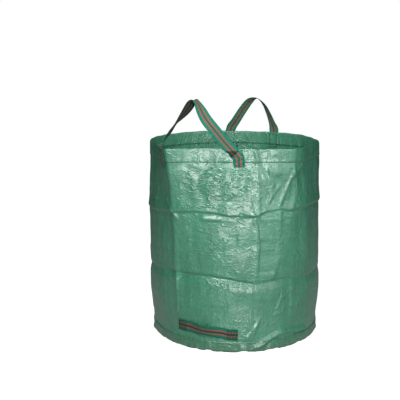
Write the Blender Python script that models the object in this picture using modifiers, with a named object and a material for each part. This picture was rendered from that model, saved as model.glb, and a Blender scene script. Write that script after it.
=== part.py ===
"""A standing garden refuse bag: a woven sheet wall on a sewn base, with three webbing straps.

Metres, +Z up. The origin is on the floor under the middle of the base, and the tipping
strap and the front carrying loop face -Y. Azimuths run anticlockwise seen from above,
from 0 at the front (-Y), so +X is at 90 degrees.
"""
import math

import bmesh
import bpy
from mathutils import Vector

# Overall size of the bag
BAG_HEIGHT = 0.760
BAG_RADIUS = 0.335

# Sheet thicknesses, and the gap that touching pieces keep
WALL_CLOTH = 0.0010
HEM_CLOTH = 0.0008
BASE_CLOTH = 0.0012
SEAM_CLOTH = 0.0008
WEBBING_THICKNESS = 0.0012
THREAD = 0.0008
GAP = 0.0003

# Base: a round sheet turned up outside the wall
SKIRT_HEIGHT = 0.042
SKIRT_BEND_RADIUS = 0.006
BASE_STITCH_Z = 0.035

# Top hem
HEM_DEPTH = 0.052
HEM_STITCH_BELOW_RIM = 0.047
MOUTH_ZONE = 0.076

# Folds left by storing the bag flat, as shares of its height: one stands out, the other
# is pressed in, and the wall is round below the third share
UPPER_FOLD_SHARE = 0.687
LOWER_FOLD_SHARE = 0.362
ROUND_BELOW_SHARE = 0.224
FOLD_REACH = 0.034
FOLD_DEPTH = 0.007

# Mouth outline in order of azimuth, from the front left corner: azimuth in degrees
# and the radius as a share of the bag's radius
MOUTH_RADIUS_SHARES = (
    (-23, 1.170), (-14, 1.020), (0, 0.895), (20, 0.860), (40, 0.920), (55, 1.055),
    (64, 1.045), (78, 0.990), (98, 0.985), (112, 0.960), (127, 0.955), (144, 0.985),
    (160, 0.985), (178, 1.015), (-164, 1.020), (-148, 1.030), (-130, 1.035),
    (-106, 1.030), (-86, 1.000), (-66, 0.995), (-54, 0.975), (-41, 1.020),
)
MOUTH_CURVE_SHARE = 0.36
MOUTH_CORNER_COLUMN = -4

# Webbing straps
WEBBING_WIDTH = 0.042
FOOT_DROP = 0.068
HINGE_ABOVE_RIM = 0.004
KNUCKLE_RADIUS = 0.032
KNUCKLE_SLACK = 0.0008

FRONT_LOOP_AZIMUTH = 0.0
FRONT_FEET_SPACING = 0.295
FRONT_LOOP_HEIGHT = 0.172
BACK_LOOP_AZIMUTH = 186.0
BACK_FEET_SPACING = 0.190
BACK_LOOP_HEIGHT = 0.138

# Stations along a loop, from its left foot to its right foot seen from outside:
# along the feet, height and outward lean as shares of the spacing and height, then the
# direction of the webbing's width along the feet, outward and up. The first and last
# spans stay flat over the hinge line, so that the webbing clears its feet as it swings
FRONT_LOOP_SHARES = (
    (0.010, 0.290, 0.00, (0.32, 0.95, 0.00)),
    (0.075, 0.400, 0.02, (0.05, 0.98, 0.05)),
    (0.180, 0.580, 0.03, (-0.20, 0.96, 0.10)),
    (0.290, 0.790, 0.02, (-0.34, 0.90, 0.22)),
    (0.390, 0.960, 0.00, (-0.34, 0.88, 0.16)),
    (0.460, 1.000, 0.00, (-0.12, 0.88, -0.44)),
    (0.560, 0.830, 0.03, (-0.52, 0.60, -0.60)),
    (0.680, 0.560, 0.05, (-0.76, 0.28, -0.58)),
    (0.800, 0.310, 0.05, (-0.80, 0.14, -0.56)),
    (0.930, 0.105, 0.00, (-0.86, 0.00, -0.50)),
    (1.000, 0.000, 0.00, (-1.00, 0.00, 0.00)),
)
BACK_LOOP_SHARES = (
    (0.00, 0.00, 0.00, (1.00, 0.00, 0.00)),
    (0.03, 0.10, 0.00, (0.92, 0.00, -0.38)),
    (0.08, 0.25, 0.02, (0.80, 0.55, 0.00)),
    (0.20, 0.55, 0.04, (0.45, 0.88, 0.05)),
    (0.35, 0.88, 0.03, (0.30, 0.92, 0.00)),
    (0.50, 1.00, 0.00, (0.00, 0.95, -0.25)),
    (0.66, 0.86, -0.02, (-0.50, 0.70, -0.45)),
    (0.80, 0.55, 0.00, (-0.80, 0.35, -0.45)),
    (0.93, 0.24, 0.00, (-0.92, 0.15, -0.35)),
    (0.97, 0.10, 0.00, (-0.92, 0.00, -0.38)),
    (1.00, 0.00, 0.00, (-1.00, 0.00, 0.00)),
)
STEPS_PER_STATION = 3

# Tipping strap, low on the front, with its right end sewn a little lower
TIPPING_STRAP_LENGTH = 0.240
TIPPING_END_LENGTH = 0.043
TIPPING_STRAP_Z = 0.076
TIPPING_STRAP_FALL = 0.014
TIPPING_STRAP_BULGE = 0.016

# Stitched zigzag on each sewn end
ZIGZAG_MARGIN = 0.006
ZIGZAG_PITCH = 0.008

# Side seam, inside the back
SIDE_SEAM_AZIMUTH = 197.5
SIDE_SEAM_WIDTH = 0.014

# Facets
COLUMNS = 72
STRAP_COLUMNS = 4
MOUTH_STEPS = 12

# Finishes: colour, roughness, metallic
FINISHES = {
    "green_cloth": ((0.065, 0.260, 0.160, 1.0), 0.38, 0.0),
    "green_hem": ((0.070, 0.270, 0.165, 1.0), 0.38, 0.0),
    "green_base": ((0.060, 0.240, 0.145, 1.0), 0.42, 0.0),
    "green_webbing": ((0.005, 0.170, 0.090, 1.0), 0.70, 0.0),
    "green_thread": ((0.030, 0.120, 0.070, 1.0), 0.60, 0.0),
    "webbing_thread": ((0.010, 0.060, 0.038, 1.0), 0.60, 0.0),
}

# Places worked out from the sizes above
LEAF_OFFSET = WALL_CLOTH / 2 + GAP + HEM_CLOTH / 2
HEM_FACE = LEAF_OFFSET + HEM_CLOTH / 2
HEM_THREAD_OFFSET = HEM_FACE + GAP + THREAD / 2
FOOT_OFFSET = HEM_THREAD_OFFSET + THREAD / 2 + GAP + WEBBING_THICKNESS / 2
FOOT_THREAD_OFFSET = FOOT_OFFSET + WEBBING_THICKNESS / 2 + GAP + THREAD / 2
TIPPING_OFFSET = WALL_CLOTH / 2 + GAP + WEBBING_THICKNESS / 2
TIPPING_THREAD_OFFSET = TIPPING_OFFSET + WEBBING_THICKNESS / 2 + GAP + THREAD / 2
SKIRT_OFFSET = WALL_CLOTH / 2 + GAP + BASE_CLOTH / 2
HINGE_Z = BAG_HEIGHT + HINGE_ABOVE_RIM
WALL_FOOT_Z = BASE_CLOTH / 2 + SKIRT_BEND_RADIUS + GAP
HEM_FOLD_Z = BAG_HEIGHT - HEM_CLOTH / 2
HEM_SHOULDER_Z = HEM_FOLD_Z - LEAF_OFFSET
WALL_TOP_Z = HEM_SHOULDER_Z - GAP
HEM_LOW_Z = BAG_HEIGHT - HEM_DEPTH
MOUTH_ZONE_Z = BAG_HEIGHT - MOUTH_ZONE
UPPER_FOLD_Z = UPPER_FOLD_SHARE * BAG_HEIGHT
LOWER_FOLD_Z = LOWER_FOLD_SHARE * BAG_HEIGHT
ROUND_BELOW_Z = ROUND_BELOW_SHARE * BAG_HEIGHT


def clear_scene():
    """Remove whatever the file holds, so that the script can run again."""
    for item in list(bpy.data.objects):
        bpy.data.objects.remove(item, do_unlink=True)


def new_collection(name):
    """A collection in the scene."""
    collection = bpy.data.collections.new(name)
    bpy.context.scene.collection.children.link(collection)
    return collection


def finish(name):
    """The Principled material of one finish, made once."""
    material = bpy.data.materials.get(name)
    if material is None:
        colour, roughness, metallic = FINISHES[name]
        material = bpy.data.materials.new(name)
        material.use_nodes = True
        material.diffuse_color = colour
        shader = material.node_tree.nodes["Principled BSDF"]
        shader.inputs["Base Color"].default_value = colour
        shader.inputs["Roughness"].default_value = roughness
        shader.inputs["Metallic"].default_value = metallic
    return material


def curve_through(points, steps, closed, pull):
    """Points on a smooth curve through the given ones; pull is the tangents' share."""
    count = len(points)
    spans = count if closed else count - 1
    curve = []
    for span in range(spans):
        if closed:
            before, start, end, after = (points[(span + k) % count] for k in (-1, 0, 1, 2))
        else:
            before = points[max(span - 1, 0)]
            start, end = points[span], points[span + 1]
            after = points[min(span + 2, count - 1)]
        leave, arrive = (end - before) * pull, (after - start) * pull
        for step in range(steps):
            t = step / steps
            curve.append(start * (2 * t**3 - 3 * t**2 + 1) + end * (3 * t**2 - 2 * t**3)
                         + leave * (t**3 - 2 * t**2 + t) + arrive * (t**3 - t**2))
    if not closed:
        curve.append(points[-1].copy())
    return curve


def resample_closed(points, count):
    """The same closed line with its points spaced evenly along it, from the first."""
    ring = points + points[:1]
    travelled = [0.0]
    for here, there in zip(ring, ring[1:]):
        travelled.append(travelled[-1] + (there - here).length)
    even, span = [], 0
    for index in range(count):
        goal = travelled[-1] * index / count
        while travelled[span + 1] < goal:
            span += 1
        share = (goal - travelled[span]) / (travelled[span + 1] - travelled[span])
        even.append(ring[span].lerp(ring[span + 1], share))
    return even


def at_azimuth(azimuth, radius):
    """A point in plan, from an azimuth in degrees."""
    angle = math.radians(azimuth)
    return Vector((radius * math.sin(angle), -radius * math.cos(angle)))


def mouth_outline():
    """The wall's plan at the mouth, one point for each column of the cloth."""
    corners = [at_azimuth(azimuth, share * BAG_RADIUS) for azimuth, share in MOUTH_RADIUS_SHARES]
    even = resample_closed(curve_through(corners, MOUTH_STEPS, True, MOUTH_CURVE_SHARE), COLUMNS)
    return [even[(column - MOUTH_CORNER_COLUMN) % COLUMNS] for column in range(COLUMNS)]


def round_outline():
    """The wall's plan at the base, one point for each column of the cloth."""
    return [at_azimuth(360 * column / COLUMNS, BAG_RADIUS) for column in range(COLUMNS)]


ROUND = round_outline()
MOUTH = mouth_outline()


def mouth_share(z):
    """How far the plan has turned from round to the mouth's outline at height z."""
    rise = (z - ROUND_BELOW_Z) / (MOUTH_ZONE_Z - ROUND_BELOW_Z)
    return min(max(rise, 0.0), 1.0)**2


def fold_offset(z):
    """How far the storage folds push the wall out or in at height z."""
    ridge = max(0.0, 1 - abs(z - UPPER_FOLD_Z) / FOLD_REACH)
    valley = max(0.0, 1 - abs(z - LOWER_FOLD_Z) / FOLD_REACH)
    return FOLD_DEPTH * (ridge - valley)


def offset_outline(points, distance):
    """The closed line moved outwards, its sides kept parallel."""
    moved = []
    for index, here in enumerate(points):
        before = (here - points[index - 1]).normalized()
        after = (points[(index + 1) % len(points)] - here).normalized()
        across = Vector((before.y + after.y, -before.x - after.x)).normalized()
        moved.append(here + across * distance / across.dot(Vector((after.y, -after.x))))
    return moved


def wall_outline(z):
    """The middle of the wall cloth in plan at height z."""
    share = mouth_share(z)
    plan = [low.lerp(high, share) for low, high in zip(ROUND, MOUTH)]
    push = fold_offset(z)
    return offset_outline(plan, push) if push else plan


def column_of(azimuth):
    """The place along the cloth, counted in columns, of an azimuth at the base."""
    return azimuth * COLUMNS / 360


def columns_along(length):
    """How many columns of the cloth a length round the bag covers."""
    return length / (2 * math.pi * BAG_RADIUS) * COLUMNS


def point_at(outline, column):
    """The point of an outline at a place counted in columns, whole or not."""
    whole = math.floor(column)
    start, end = outline[whole % COLUMNS], outline[(whole + 1) % COLUMNS]
    return start.lerp(end, column - whole)


def columns_between(start, end, steps):
    """Places from start to end, with every facet corner of the wall among them."""
    even = [start + (end - start) * step / steps for step in range(steps + 1)]
    low, high = min(start, end), max(start, end)
    corners = [column for column in range(math.ceil(low), math.floor(high) + 1)
               if all(abs(column - place) > 1 / COLUMNS for place in even)]
    return sorted(even + corners, reverse=end < start)


def at_height(points, z):
    """Plan points raised to a height."""
    return [Vector((point.x, point.y, z)) for point in points]


def place(obj, finish_name, collection):
    """Give an object its finish and put it in the part's collection."""
    obj.data.materials.append(finish(finish_name))
    collection.objects.link(obj)
    return obj


def sheet(name, rows, thickness, closed, finish_name, collection, axis=None):
    """A sheet lofted through rows of points, its thickness shared by both faces."""
    origin = axis if axis is not None else Vector((0, 0, 0))
    mesh = bmesh.new()
    grid = [[mesh.verts.new(point - origin) for point in row] for row in rows]
    width = len(grid[0])
    for low, high in zip(grid, grid[1:]):
        for index in range(width if closed else width - 1):
            side = (index + 1) % width
            mesh.faces.new((low[index], low[side], high[side], high[index]))
    data = bpy.data.meshes.new(name)
    mesh.to_mesh(data)
    mesh.free()
    obj = bpy.data.objects.new(name, data)
    obj.location = origin
    wall = obj.modifiers.new("cloth", "SOLIDIFY")
    wall.thickness = thickness
    wall.offset = 0
    wall.use_even_offset = True
    return place(obj, finish_name, collection)


def thread(name, points, closed, finish_name, collection):
    """A sewing thread along a line of points."""
    curve = bpy.data.curves.new(name, "CURVE")
    curve.dimensions = "3D"
    curve.bevel_depth = THREAD / 2
    curve.bevel_resolution = 0 if closed else 1
    curve.use_fill_caps = not closed
    spline = curve.splines.new("POLY")
    spline.points.add(len(points) - 1)
    for knot, point in zip(spline.points, points):
        knot.co = (*point, 1)
    spline.use_cyclic_u = closed
    return place(bpy.data.objects.new(name, curve), finish_name, collection)


def wall_panel(collection):
    """The woven sheet that stands round the bag."""
    folds = [fold + reach for fold in (LOWER_FOLD_Z, UPPER_FOLD_Z)
             for reach in (-FOLD_REACH, 0, FOLD_REACH)]
    middle_z = (LOWER_FOLD_Z + UPPER_FOLD_Z) / 2
    upper_z = (UPPER_FOLD_Z + FOLD_REACH + MOUTH_ZONE_Z) / 2
    levels = [WALL_FOOT_Z, SKIRT_HEIGHT, ROUND_BELOW_Z, *folds[:3], middle_z, *folds[3:],
              upper_z, MOUTH_ZONE_Z, WALL_TOP_Z]
    rows = [at_height(wall_outline(z), z) for z in levels]
    sheet("wall_panel", rows, WALL_CLOTH, True, "green_cloth", collection)


def side_seam(collection):
    """The sheet's two ends, folded together inside the back."""
    half = columns_along(SIDE_SEAM_WIDTH / 2)
    centre = column_of(SIDE_SEAM_AZIMUTH)
    inward = -(WALL_CLOTH / 2 + GAP + SEAM_CLOTH / 2)
    folds = [fold + reach for fold in (LOWER_FOLD_Z, UPPER_FOLD_Z)
             for reach in (-FOLD_REACH, 0, FOLD_REACH)]
    levels = [WALL_FOOT_Z, ROUND_BELOW_Z, *folds, MOUTH_ZONE_Z, HEM_LOW_Z - GAP]
    rows = []
    for z in levels:
        outline = offset_outline(wall_outline(z), inward)
        across = columns_between(centre + half, centre - half, 2)
        rows.append(at_height([point_at(outline, column) for column in across], z))
    sheet("side_seam", rows, SEAM_CLOTH, False, "green_hem", collection)
    inner = inward - SEAM_CLOTH / 2 - GAP - THREAD / 2
    stitches = [at_height([point_at(offset_outline(wall_outline(z), inner), centre)], z)[0]
                for z in levels]
    thread("side_seam_stitch", stitches, False, "green_thread", collection)


def base_panel(collection):
    """The round bottom sheet, turned up outside the wall and sewn to it."""
    floor_z = BASE_CLOTH / 2
    radius = BAG_RADIUS + SKIRT_OFFSET
    bend = SKIRT_BEND_RADIUS
    profile = [(radius, SKIRT_HEIGHT)]
    for step in range(4):
        angle = math.radians(90) * step / 3
        profile.append((radius - bend + bend * math.cos(angle),
                        floor_z + bend - bend * math.sin(angle)))
    profile.append((0, floor_z))
    data = bpy.data.meshes.new("base_panel")
    edges = [(index, index + 1) for index in range(len(profile) - 1)]
    data.from_pydata([(across, 0, z) for across, z in profile], edges, [])
    obj = bpy.data.objects.new("base_panel", data)
    turn = obj.modifiers.new("turn", "SCREW")
    turn.steps = COLUMNS
    turn.render_steps = COLUMNS
    turn.use_merge_vertices = True
    turn.merge_threshold = THREAD / 10
    wall = obj.modifiers.new("cloth", "SOLIDIFY")
    wall.thickness = BASE_CLOTH
    wall.offset = 0
    wall.use_even_offset = True
    place(obj, "green_base", collection)
    stitch = offset_outline(ROUND, SKIRT_OFFSET + BASE_CLOTH / 2 + GAP + THREAD / 2)
    thread("base_stitch", at_height(stitch, BASE_STITCH_Z), True, "green_thread", collection)


def top_hem(collection):
    """The doubled band folded over the top edge of the wall."""
    bend = math.sqrt(0.5)
    profile = [(1, HEM_LOW_Z), (1, HEM_SHOULDER_Z),
               (bend, HEM_SHOULDER_Z + bend * LEAF_OFFSET), (0, HEM_FOLD_Z),
               (-bend, HEM_SHOULDER_Z + bend * LEAF_OFFSET), (-1, HEM_SHOULDER_Z),
               (-1, HEM_LOW_Z)]
    rows = [at_height(offset_outline(MOUTH, side * LEAF_OFFSET), z) for side, z in profile]
    sheet("top_hem", rows, HEM_CLOTH, True, "green_hem", collection)
    stitch = offset_outline(MOUTH, HEM_THREAD_OFFSET)
    stitch_z = BAG_HEIGHT - HEM_STITCH_BELOW_RIM
    thread("hem_stitch", at_height(stitch, stitch_z), True, "green_thread", collection)


def zigzag(name, outline, start, end, low_z, high_z, upright, collection):
    """A row of zigzag stitches between two places of an outline."""
    margin = columns_along(ZIGZAG_MARGIN)
    left, right = start + margin, end - margin
    low, high = low_z + ZIGZAG_MARGIN, high_z - ZIGZAG_MARGIN
    points = []
    if upright:
        legs = round((high - low) / ZIGZAG_PITCH)
        for leg in range(legs):
            ends = (left, right) if leg % 2 == 0 else (right, left)
            for column in columns_between(*ends, STRAP_COLUMNS)[:-1]:
                share = (leg + (column - ends[0]) / (ends[1] - ends[0])) / legs
                points.append((column, high + (low - high) * share))
    else:
        legs = round((right - left) / columns_along(ZIGZAG_PITCH))
        for leg in range(legs):
            ends = (low, high) if leg % 2 == 0 else (high, low)
            begin = left + (right - left) * leg / legs
            for column in columns_between(begin, begin + (right - left) / legs, 1)[:-1]:
                share = (column - begin) * legs / (right - left)
                points.append((column, ends[0] + (ends[1] - ends[0]) * share))
    route = [at_height([point_at(outline, column)], z)[0] for column, z in points]
    thread(name, route, False, "webbing_thread", collection)


def foot_place(azimuth, spacing, side):
    """The middle of a loop's foot, counted in columns; side is -1 left or 1 right."""
    return column_of(azimuth) + side * columns_along(spacing / 2)


def foot_point(azimuth, spacing, side):
    """Where the middle of a foot crosses the loop's hinge line."""
    outline = offset_outline(MOUTH, FOOT_OFFSET)
    return at_height([point_at(outline, foot_place(azimuth, spacing, side))], HINGE_Z)[0]


def hinge_line(azimuth, spacing):
    """The left foot's point on the hinge line, and the line's direction."""
    left = foot_point(azimuth, spacing, -1)
    return left, (foot_point(azimuth, spacing, 1) - left).normalized()


def knuckle_height(point, pivot, direction, radius):
    """How high above the hinge line a knuckle of the given radius stands at a point."""
    offset = point - pivot
    offset.z = 0
    aside = (offset - direction * offset.dot(direction)).length
    return math.sqrt(radius**2 - aside**2)


def loop_foot(name, azimuth, spacing, side, knuckled, collection):
    """One sewn end of a carrying loop, on the outside of the hem."""
    half = columns_along(WEBBING_WIDTH / 2)
    centre = foot_place(azimuth, spacing, side)
    outline = offset_outline(MOUTH, FOOT_OFFSET)
    across = columns_between(centre - half, centre + half, STRAP_COLUMNS)
    low_z = BAG_HEIGHT - FOOT_DROP
    top_z = HINGE_Z - WEBBING_THICKNESS / 2 - GAP / 3
    rows = [at_height([point_at(outline, column) for column in across], z)
            for z in (low_z, top_z)]
    if knuckled:
        pivot, direction = hinge_line(azimuth, spacing)
        crown = rows[-1]
        rows[-1] = [point + Vector((0, 0, HINGE_Z - top_z + knuckle_height(
            point, pivot, direction, KNUCKLE_RADIUS))) for point in crown]
    sheet(name, rows, WEBBING_THICKNESS, False, "green_webbing", collection)
    stitches = offset_outline(MOUTH, FOOT_THREAD_OFFSET)
    zigzag(name + "_stitch", stitches, centre - half, centre + half, low_z, BAG_HEIGHT,
           True, collection)


def straight_ends(points, curve):
    """The curve through the points with its first and last spans drawn straight."""
    last = len(curve) - 1
    for step in range(STEPS_PER_STATION):
        share = step / STEPS_PER_STATION
        curve[step] = points[0].lerp(points[1], share)
        curve[last - step] = points[-1].lerp(points[-2], share)
    return curve


def loop_rows(azimuth, spacing, height, stations, knuckled):
    """Rows of points across a loop's webbing, from its left foot to its right foot."""
    left, along = hinge_line(azimuth, spacing)
    span = (foot_point(azimuth, spacing, 1) - left).length
    outward = Vector((along.y, -along.x, 0))
    up = Vector((0, 0, 1))
    places = [left + along * (a * span) + up * (b * height) + outward * (c * height)
              for a, b, c, _ in stations]
    widths = [along * w[0] + outward * w[1] + up * w[2] for _, _, _, w in stations]
    middle = straight_ends(places, curve_through(places, STEPS_PER_STATION, False, 0.5))
    turns = straight_ends(widths, curve_through(widths, STEPS_PER_STATION, False, 0.5))
    rows = []
    for index, (point, width) in enumerate(zip(middle, turns)):
        if STEPS_PER_STATION < index < len(middle) - 1 - STEPS_PER_STATION:
            ahead = middle[index + 1] - middle[index - 1]
            width = width - ahead * (width.dot(ahead) / ahead.length_squared)
        width = width.normalized()
        rows.append([point + width * (WEBBING_WIDTH * (step / STRAP_COLUMNS - 0.5))
                     for step in range(STRAP_COLUMNS + 1)])
    clear = up * (GAP / 3)
    rows[-1] = [point + clear for point in rows[-1]]
    if knuckled:
        for index, point in enumerate(rows[0]):
            point.z = HINGE_Z + knuckle_height(point, left, along,
                                               KNUCKLE_RADIUS + KNUCKLE_SLACK)
            rows[0][index] = point
    else:
        rows[0] = [point + clear for point in rows[0]]
    return rows


def carrying_loop(name, azimuth, spacing, height, stations, knuckled, collection):
    """A carrying loop: its swinging webbing and its two sewn ends."""
    pivot, _ = hinge_line(azimuth, spacing)
    rows = loop_rows(azimuth, spacing, height, stations, knuckled)
    sheet(name, rows, WEBBING_THICKNESS, False, "green_webbing", collection, pivot)
    loop_foot(name + "_left_end", azimuth, spacing, -1, knuckled, collection)
    loop_foot(name + "_right_end", azimuth, spacing, 1, False, collection)


def tipping_rows(start, end, bulge):
    """Rows across the tipping strap between two places of the wall."""
    outline = offset_outline(ROUND, TIPPING_OFFSET)
    fall = TIPPING_STRAP_FALL / columns_along(TIPPING_STRAP_LENGTH)
    low, high = [], []
    for column in columns_between(start, end, STRAP_COLUMNS * 2 if bulge else 2):
        point = point_at(outline, column)
        share = (column - start) / (end - start)
        point = point + point.normalized() * (bulge * math.sin(math.pi * share)**2)
        middle_z = TIPPING_STRAP_Z - fall * column
        low.append(Vector((point.x, point.y, middle_z - WEBBING_WIDTH / 2)))
        high.append(Vector((point.x, point.y, middle_z + WEBBING_WIDTH / 2)))
    return [low, high]


def tipping_strap(collection):
    """The strap low on the front that is pulled to tip the bag out."""
    reach = columns_along(TIPPING_STRAP_LENGTH / 2)
    inner = reach - columns_along(TIPPING_END_LENGTH)
    slit = columns_along(GAP)
    stitches = offset_outline(ROUND, TIPPING_THREAD_OFFSET)
    rows = tipping_rows(slit - inner, inner - slit, TIPPING_STRAP_BULGE)
    sheet("tipping_strap", rows, WEBBING_THICKNESS, False, "green_webbing", collection)
    fall = TIPPING_STRAP_FALL / columns_along(TIPPING_STRAP_LENGTH)
    for side, start, end in (("left", -reach, -inner), ("right", inner, reach)):
        name = f"tipping_strap_{side}_end"
        sheet(name, tipping_rows(start, end, 0), WEBBING_THICKNESS, False, "green_webbing",
              collection)
        middle_z = TIPPING_STRAP_Z - fall * (start + end) / 2
        zigzag(name + "_stitch", stitches, start, end, middle_z - WEBBING_WIDTH / 2,
               middle_z + WEBBING_WIDTH / 2, False, collection)


def build():
    """Model the whole bag."""
    clear_scene()
    bag = new_collection("garden_bag")
    wall_panel(bag)
    side_seam(bag)
    base_panel(bag)
    top_hem(bag)
    carrying_loop("front_loop", FRONT_LOOP_AZIMUTH, FRONT_FEET_SPACING, FRONT_LOOP_HEIGHT,
                  FRONT_LOOP_SHARES, True, bag)
    carrying_loop("back_loop", BACK_LOOP_AZIMUTH, BACK_FEET_SPACING, BACK_LOOP_HEIGHT,
                  BACK_LOOP_SHARES, False, bag)
    tipping_strap(bag)


build()
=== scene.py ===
"""The looks of a standing garden refuse bag: woven laminated cloth, striped webbing and stitching.

Metres, +Z up, the tipping strap and the front loop face -Y. A place on the cloth is given
by its column, in degrees round the bag from the front, anticlockwise seen from above, and
by its height.
"""
import math

import bpy
import numpy as np
from bpy.props import FloatProperty, FloatVectorProperty, PointerProperty
from bpy.types import Operator, Panel, PropertyGroup
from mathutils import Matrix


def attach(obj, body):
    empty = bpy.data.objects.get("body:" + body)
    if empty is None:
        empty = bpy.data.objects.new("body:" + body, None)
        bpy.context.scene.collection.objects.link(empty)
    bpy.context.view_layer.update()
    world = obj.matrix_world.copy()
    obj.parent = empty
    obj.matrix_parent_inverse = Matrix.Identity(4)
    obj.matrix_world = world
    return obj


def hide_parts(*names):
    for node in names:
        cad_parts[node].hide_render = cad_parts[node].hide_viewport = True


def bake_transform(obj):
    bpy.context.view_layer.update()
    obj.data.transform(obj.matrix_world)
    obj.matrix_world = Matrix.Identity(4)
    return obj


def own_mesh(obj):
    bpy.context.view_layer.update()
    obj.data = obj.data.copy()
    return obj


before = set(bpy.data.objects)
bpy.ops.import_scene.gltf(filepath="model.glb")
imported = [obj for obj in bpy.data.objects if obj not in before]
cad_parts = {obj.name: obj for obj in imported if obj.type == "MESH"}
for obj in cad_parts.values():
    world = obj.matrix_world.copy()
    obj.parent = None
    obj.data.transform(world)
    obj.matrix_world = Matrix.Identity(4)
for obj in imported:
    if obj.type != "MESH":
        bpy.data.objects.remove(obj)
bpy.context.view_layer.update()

bl_info = {
    "name": "Garden refuse bag",
    "version": (1, 0, 0),
    "blender": (4, 5, 0),
    "location": "View3D > Sidebar > Garden bag",
    "description": "Dresses the packed garden bag in creased cloth, webbing and stitching",
    "category": "Object",
}

# The bag's sizes, as in the CAD source
HEIGHT = 0.760
RADIUS = 0.335
AROUND = 2 * math.pi * RADIUS
ROUND_BELOW_Z = 0.170
MOUTH_ZONE_Z = 0.684
HINGE_Z = 0.764
WEBBING_WIDTH = 0.042
SEAM_COLUMN = 197.5
HEM_STITCH_Z = 0.713
MOUTH_RADIUS_SHARES = (
    (-23, 1.170), (-14, 1.020), (0, 0.895), (20, 0.860), (40, 0.920), (55, 1.055),
    (64, 1.045), (78, 0.990), (98, 0.985), (112, 0.960), (127, 0.955), (144, 0.985),
    (160, 0.985), (178, 1.015), (-164, 1.020), (-148, 1.030), (-130, 1.035),
    (-106, 1.030), (-86, 1.000), (-66, 0.995), (-54, 0.975), (-41, 1.020),
)
MOUTH_CURVE_SHARE = 0.36
MOUTH_CURVE_STEPS = 12
MOUTH_CORNER_COLUMN = -20
# How much of the turn from round to the mouth's shape ends at the mouth zone, not at the rim
MOUTH_ZONE_SHARE = 0.1
# How far the bottom edge is pushed out or in at columns round the bag, and up to where
BASE_PUSH = (
    (-150, 0.000), (-110, -0.003), (-86, -0.009), (-68, -0.013), (-50, -0.016), (-32, -0.010),
    (-16, 0.002), (0, 0.008), (20, 0.009), (36, 0.008), (52, 0.001), (68, -0.006),
    (88, -0.010), (108, -0.007), (140, 0.000), (180, 0.003),
)
BASE_PUSH_LOW_Z = 0.045
BASE_PUSH_HIGH_Z = 0.20

# The cloth keeps flat faces between these columns, fully so up to the widest one, and how
# far it goes to flat
CORNERS = (-62, -42, -21, 33, 49, 72, 97, 117, 140, 163, 186, 208, 232, 254, 276)
WIDEST_FLAT_FACE = 30
FLATNESS = 0.55
FLAT_MIDDLE_SHARE = 0.8
# The flat faces fade in and out between these heights, and are stronger above the last ones
FLAT_FROM_Z = (0.03, 0.13)
FLAT_TO_Z = (0.50, 0.66)
FLAT_LOW_SHARE = 0.30
FLAT_MORE_SHARE = 0.55
FLAT_MORE_Z = (0.20, 0.40)

# The field of creases: its step round the bag in degrees and up the bag in metres
FIELD_STEP = 0.5
FIELD_RISE = 0.003
FIELD_COLUMNS = round(360 / FIELD_STEP)
FIELD_ROWS = 256


def smooth(value, low, high):
    """0 below low, 1 above high, with a smooth turn between them."""
    share = np.clip((value - low) / (high - low), 0, 1)
    return share * share * (3 - 2 * share)


def wrapped(columns):
    """Differences of columns brought to -180 to 180 degrees."""
    return (columns + 180) % 360 - 180


def near(column, middle, full, none):
    """1 within full degrees of a middle column, 0 beyond none degrees."""
    return 1 - smooth(np.abs(wrapped(column - middle)), full, none)


def unit(vectors):
    """Directions of length 1."""
    return vectors / np.linalg.norm(vectors, axis=-1, keepdims=True)


def level(plan):
    """Directions in plan as level directions in space."""
    return np.concatenate([plan, np.zeros((len(plan), 1))], 1)


def in_degrees(metres):
    """How many degrees round the bag a width takes."""
    return metres / AROUND * 360


def round_point(radius, column, z):
    """Points at a distance from the bag's axis, a column and a height."""
    angle = np.radians(column)
    points = np.broadcast_arrays(radius * np.sin(angle), -radius * np.cos(angle), z)
    return np.stack(points, -1)


def around_table(knots, columns):
    """Values at columns from (column, value) knots that go right round the bag."""
    places = np.array([place for place, _ in knots], float) % 360
    values = np.array([value for _, value in knots], float)
    order = np.argsort(places)
    return np.interp(columns % 360, places[order], values[order], period=360)


def travelled_along(line):
    """The length of a line of points up to each of them."""
    return np.concatenate([[0], np.cumsum(np.linalg.norm(np.diff(line, axis=0), axis=1))])


def picked_along(line, travelled, goals):
    """The places on a line of points at lengths along it."""
    return np.stack([np.interp(goals, travelled, line[:, axis])
                     for axis in range(line.shape[1])], -1)


def curve_through(points, steps, closed, pull):
    """Points on a smooth curve through the given ones; pull is the tangents' share."""
    points = np.array(points, float)
    count = len(points)
    curve = []
    for span in range(count if closed else count - 1):
        picks = [span - 1, span, span + 1, span + 2]
        picks = [p % count if closed else min(max(p, 0), count - 1) for p in picks]
        before, start, end, after = points[picks]
        leave, arrive = (end - before) * pull, (after - start) * pull
        t = np.arange(steps)[:, None] / steps
        curve.append(start * (2 * t**3 - 3 * t**2 + 1) + end * (3 * t**2 - 2 * t**3)
                     + leave * (t**3 - 2 * t**2 + t) + arrive * (t**3 - t**2))
    if not closed:
        curve.append(points[-1:])
    return np.vstack(curve)


def mouth_outline():
    """The wall's plan at the mouth, one point for each step of the field of creases."""
    corners = []
    for azimuth, share in MOUTH_RADIUS_SHARES:
        angle = math.radians(azimuth)
        corners.append((share * RADIUS * math.sin(angle), -share * RADIUS * math.cos(angle)))
    line = curve_through(corners, MOUTH_CURVE_STEPS, True, MOUTH_CURVE_SHARE)
    ring = np.vstack([line, line[:1]])
    travelled = travelled_along(ring)
    goals = travelled[-1] * np.arange(FIELD_COLUMNS) / FIELD_COLUMNS
    even = picked_along(ring, travelled, goals)
    return np.roll(even, round(MOUTH_CORNER_COLUMN / FIELD_STEP), axis=0)


MOUTH = mouth_outline()


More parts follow.
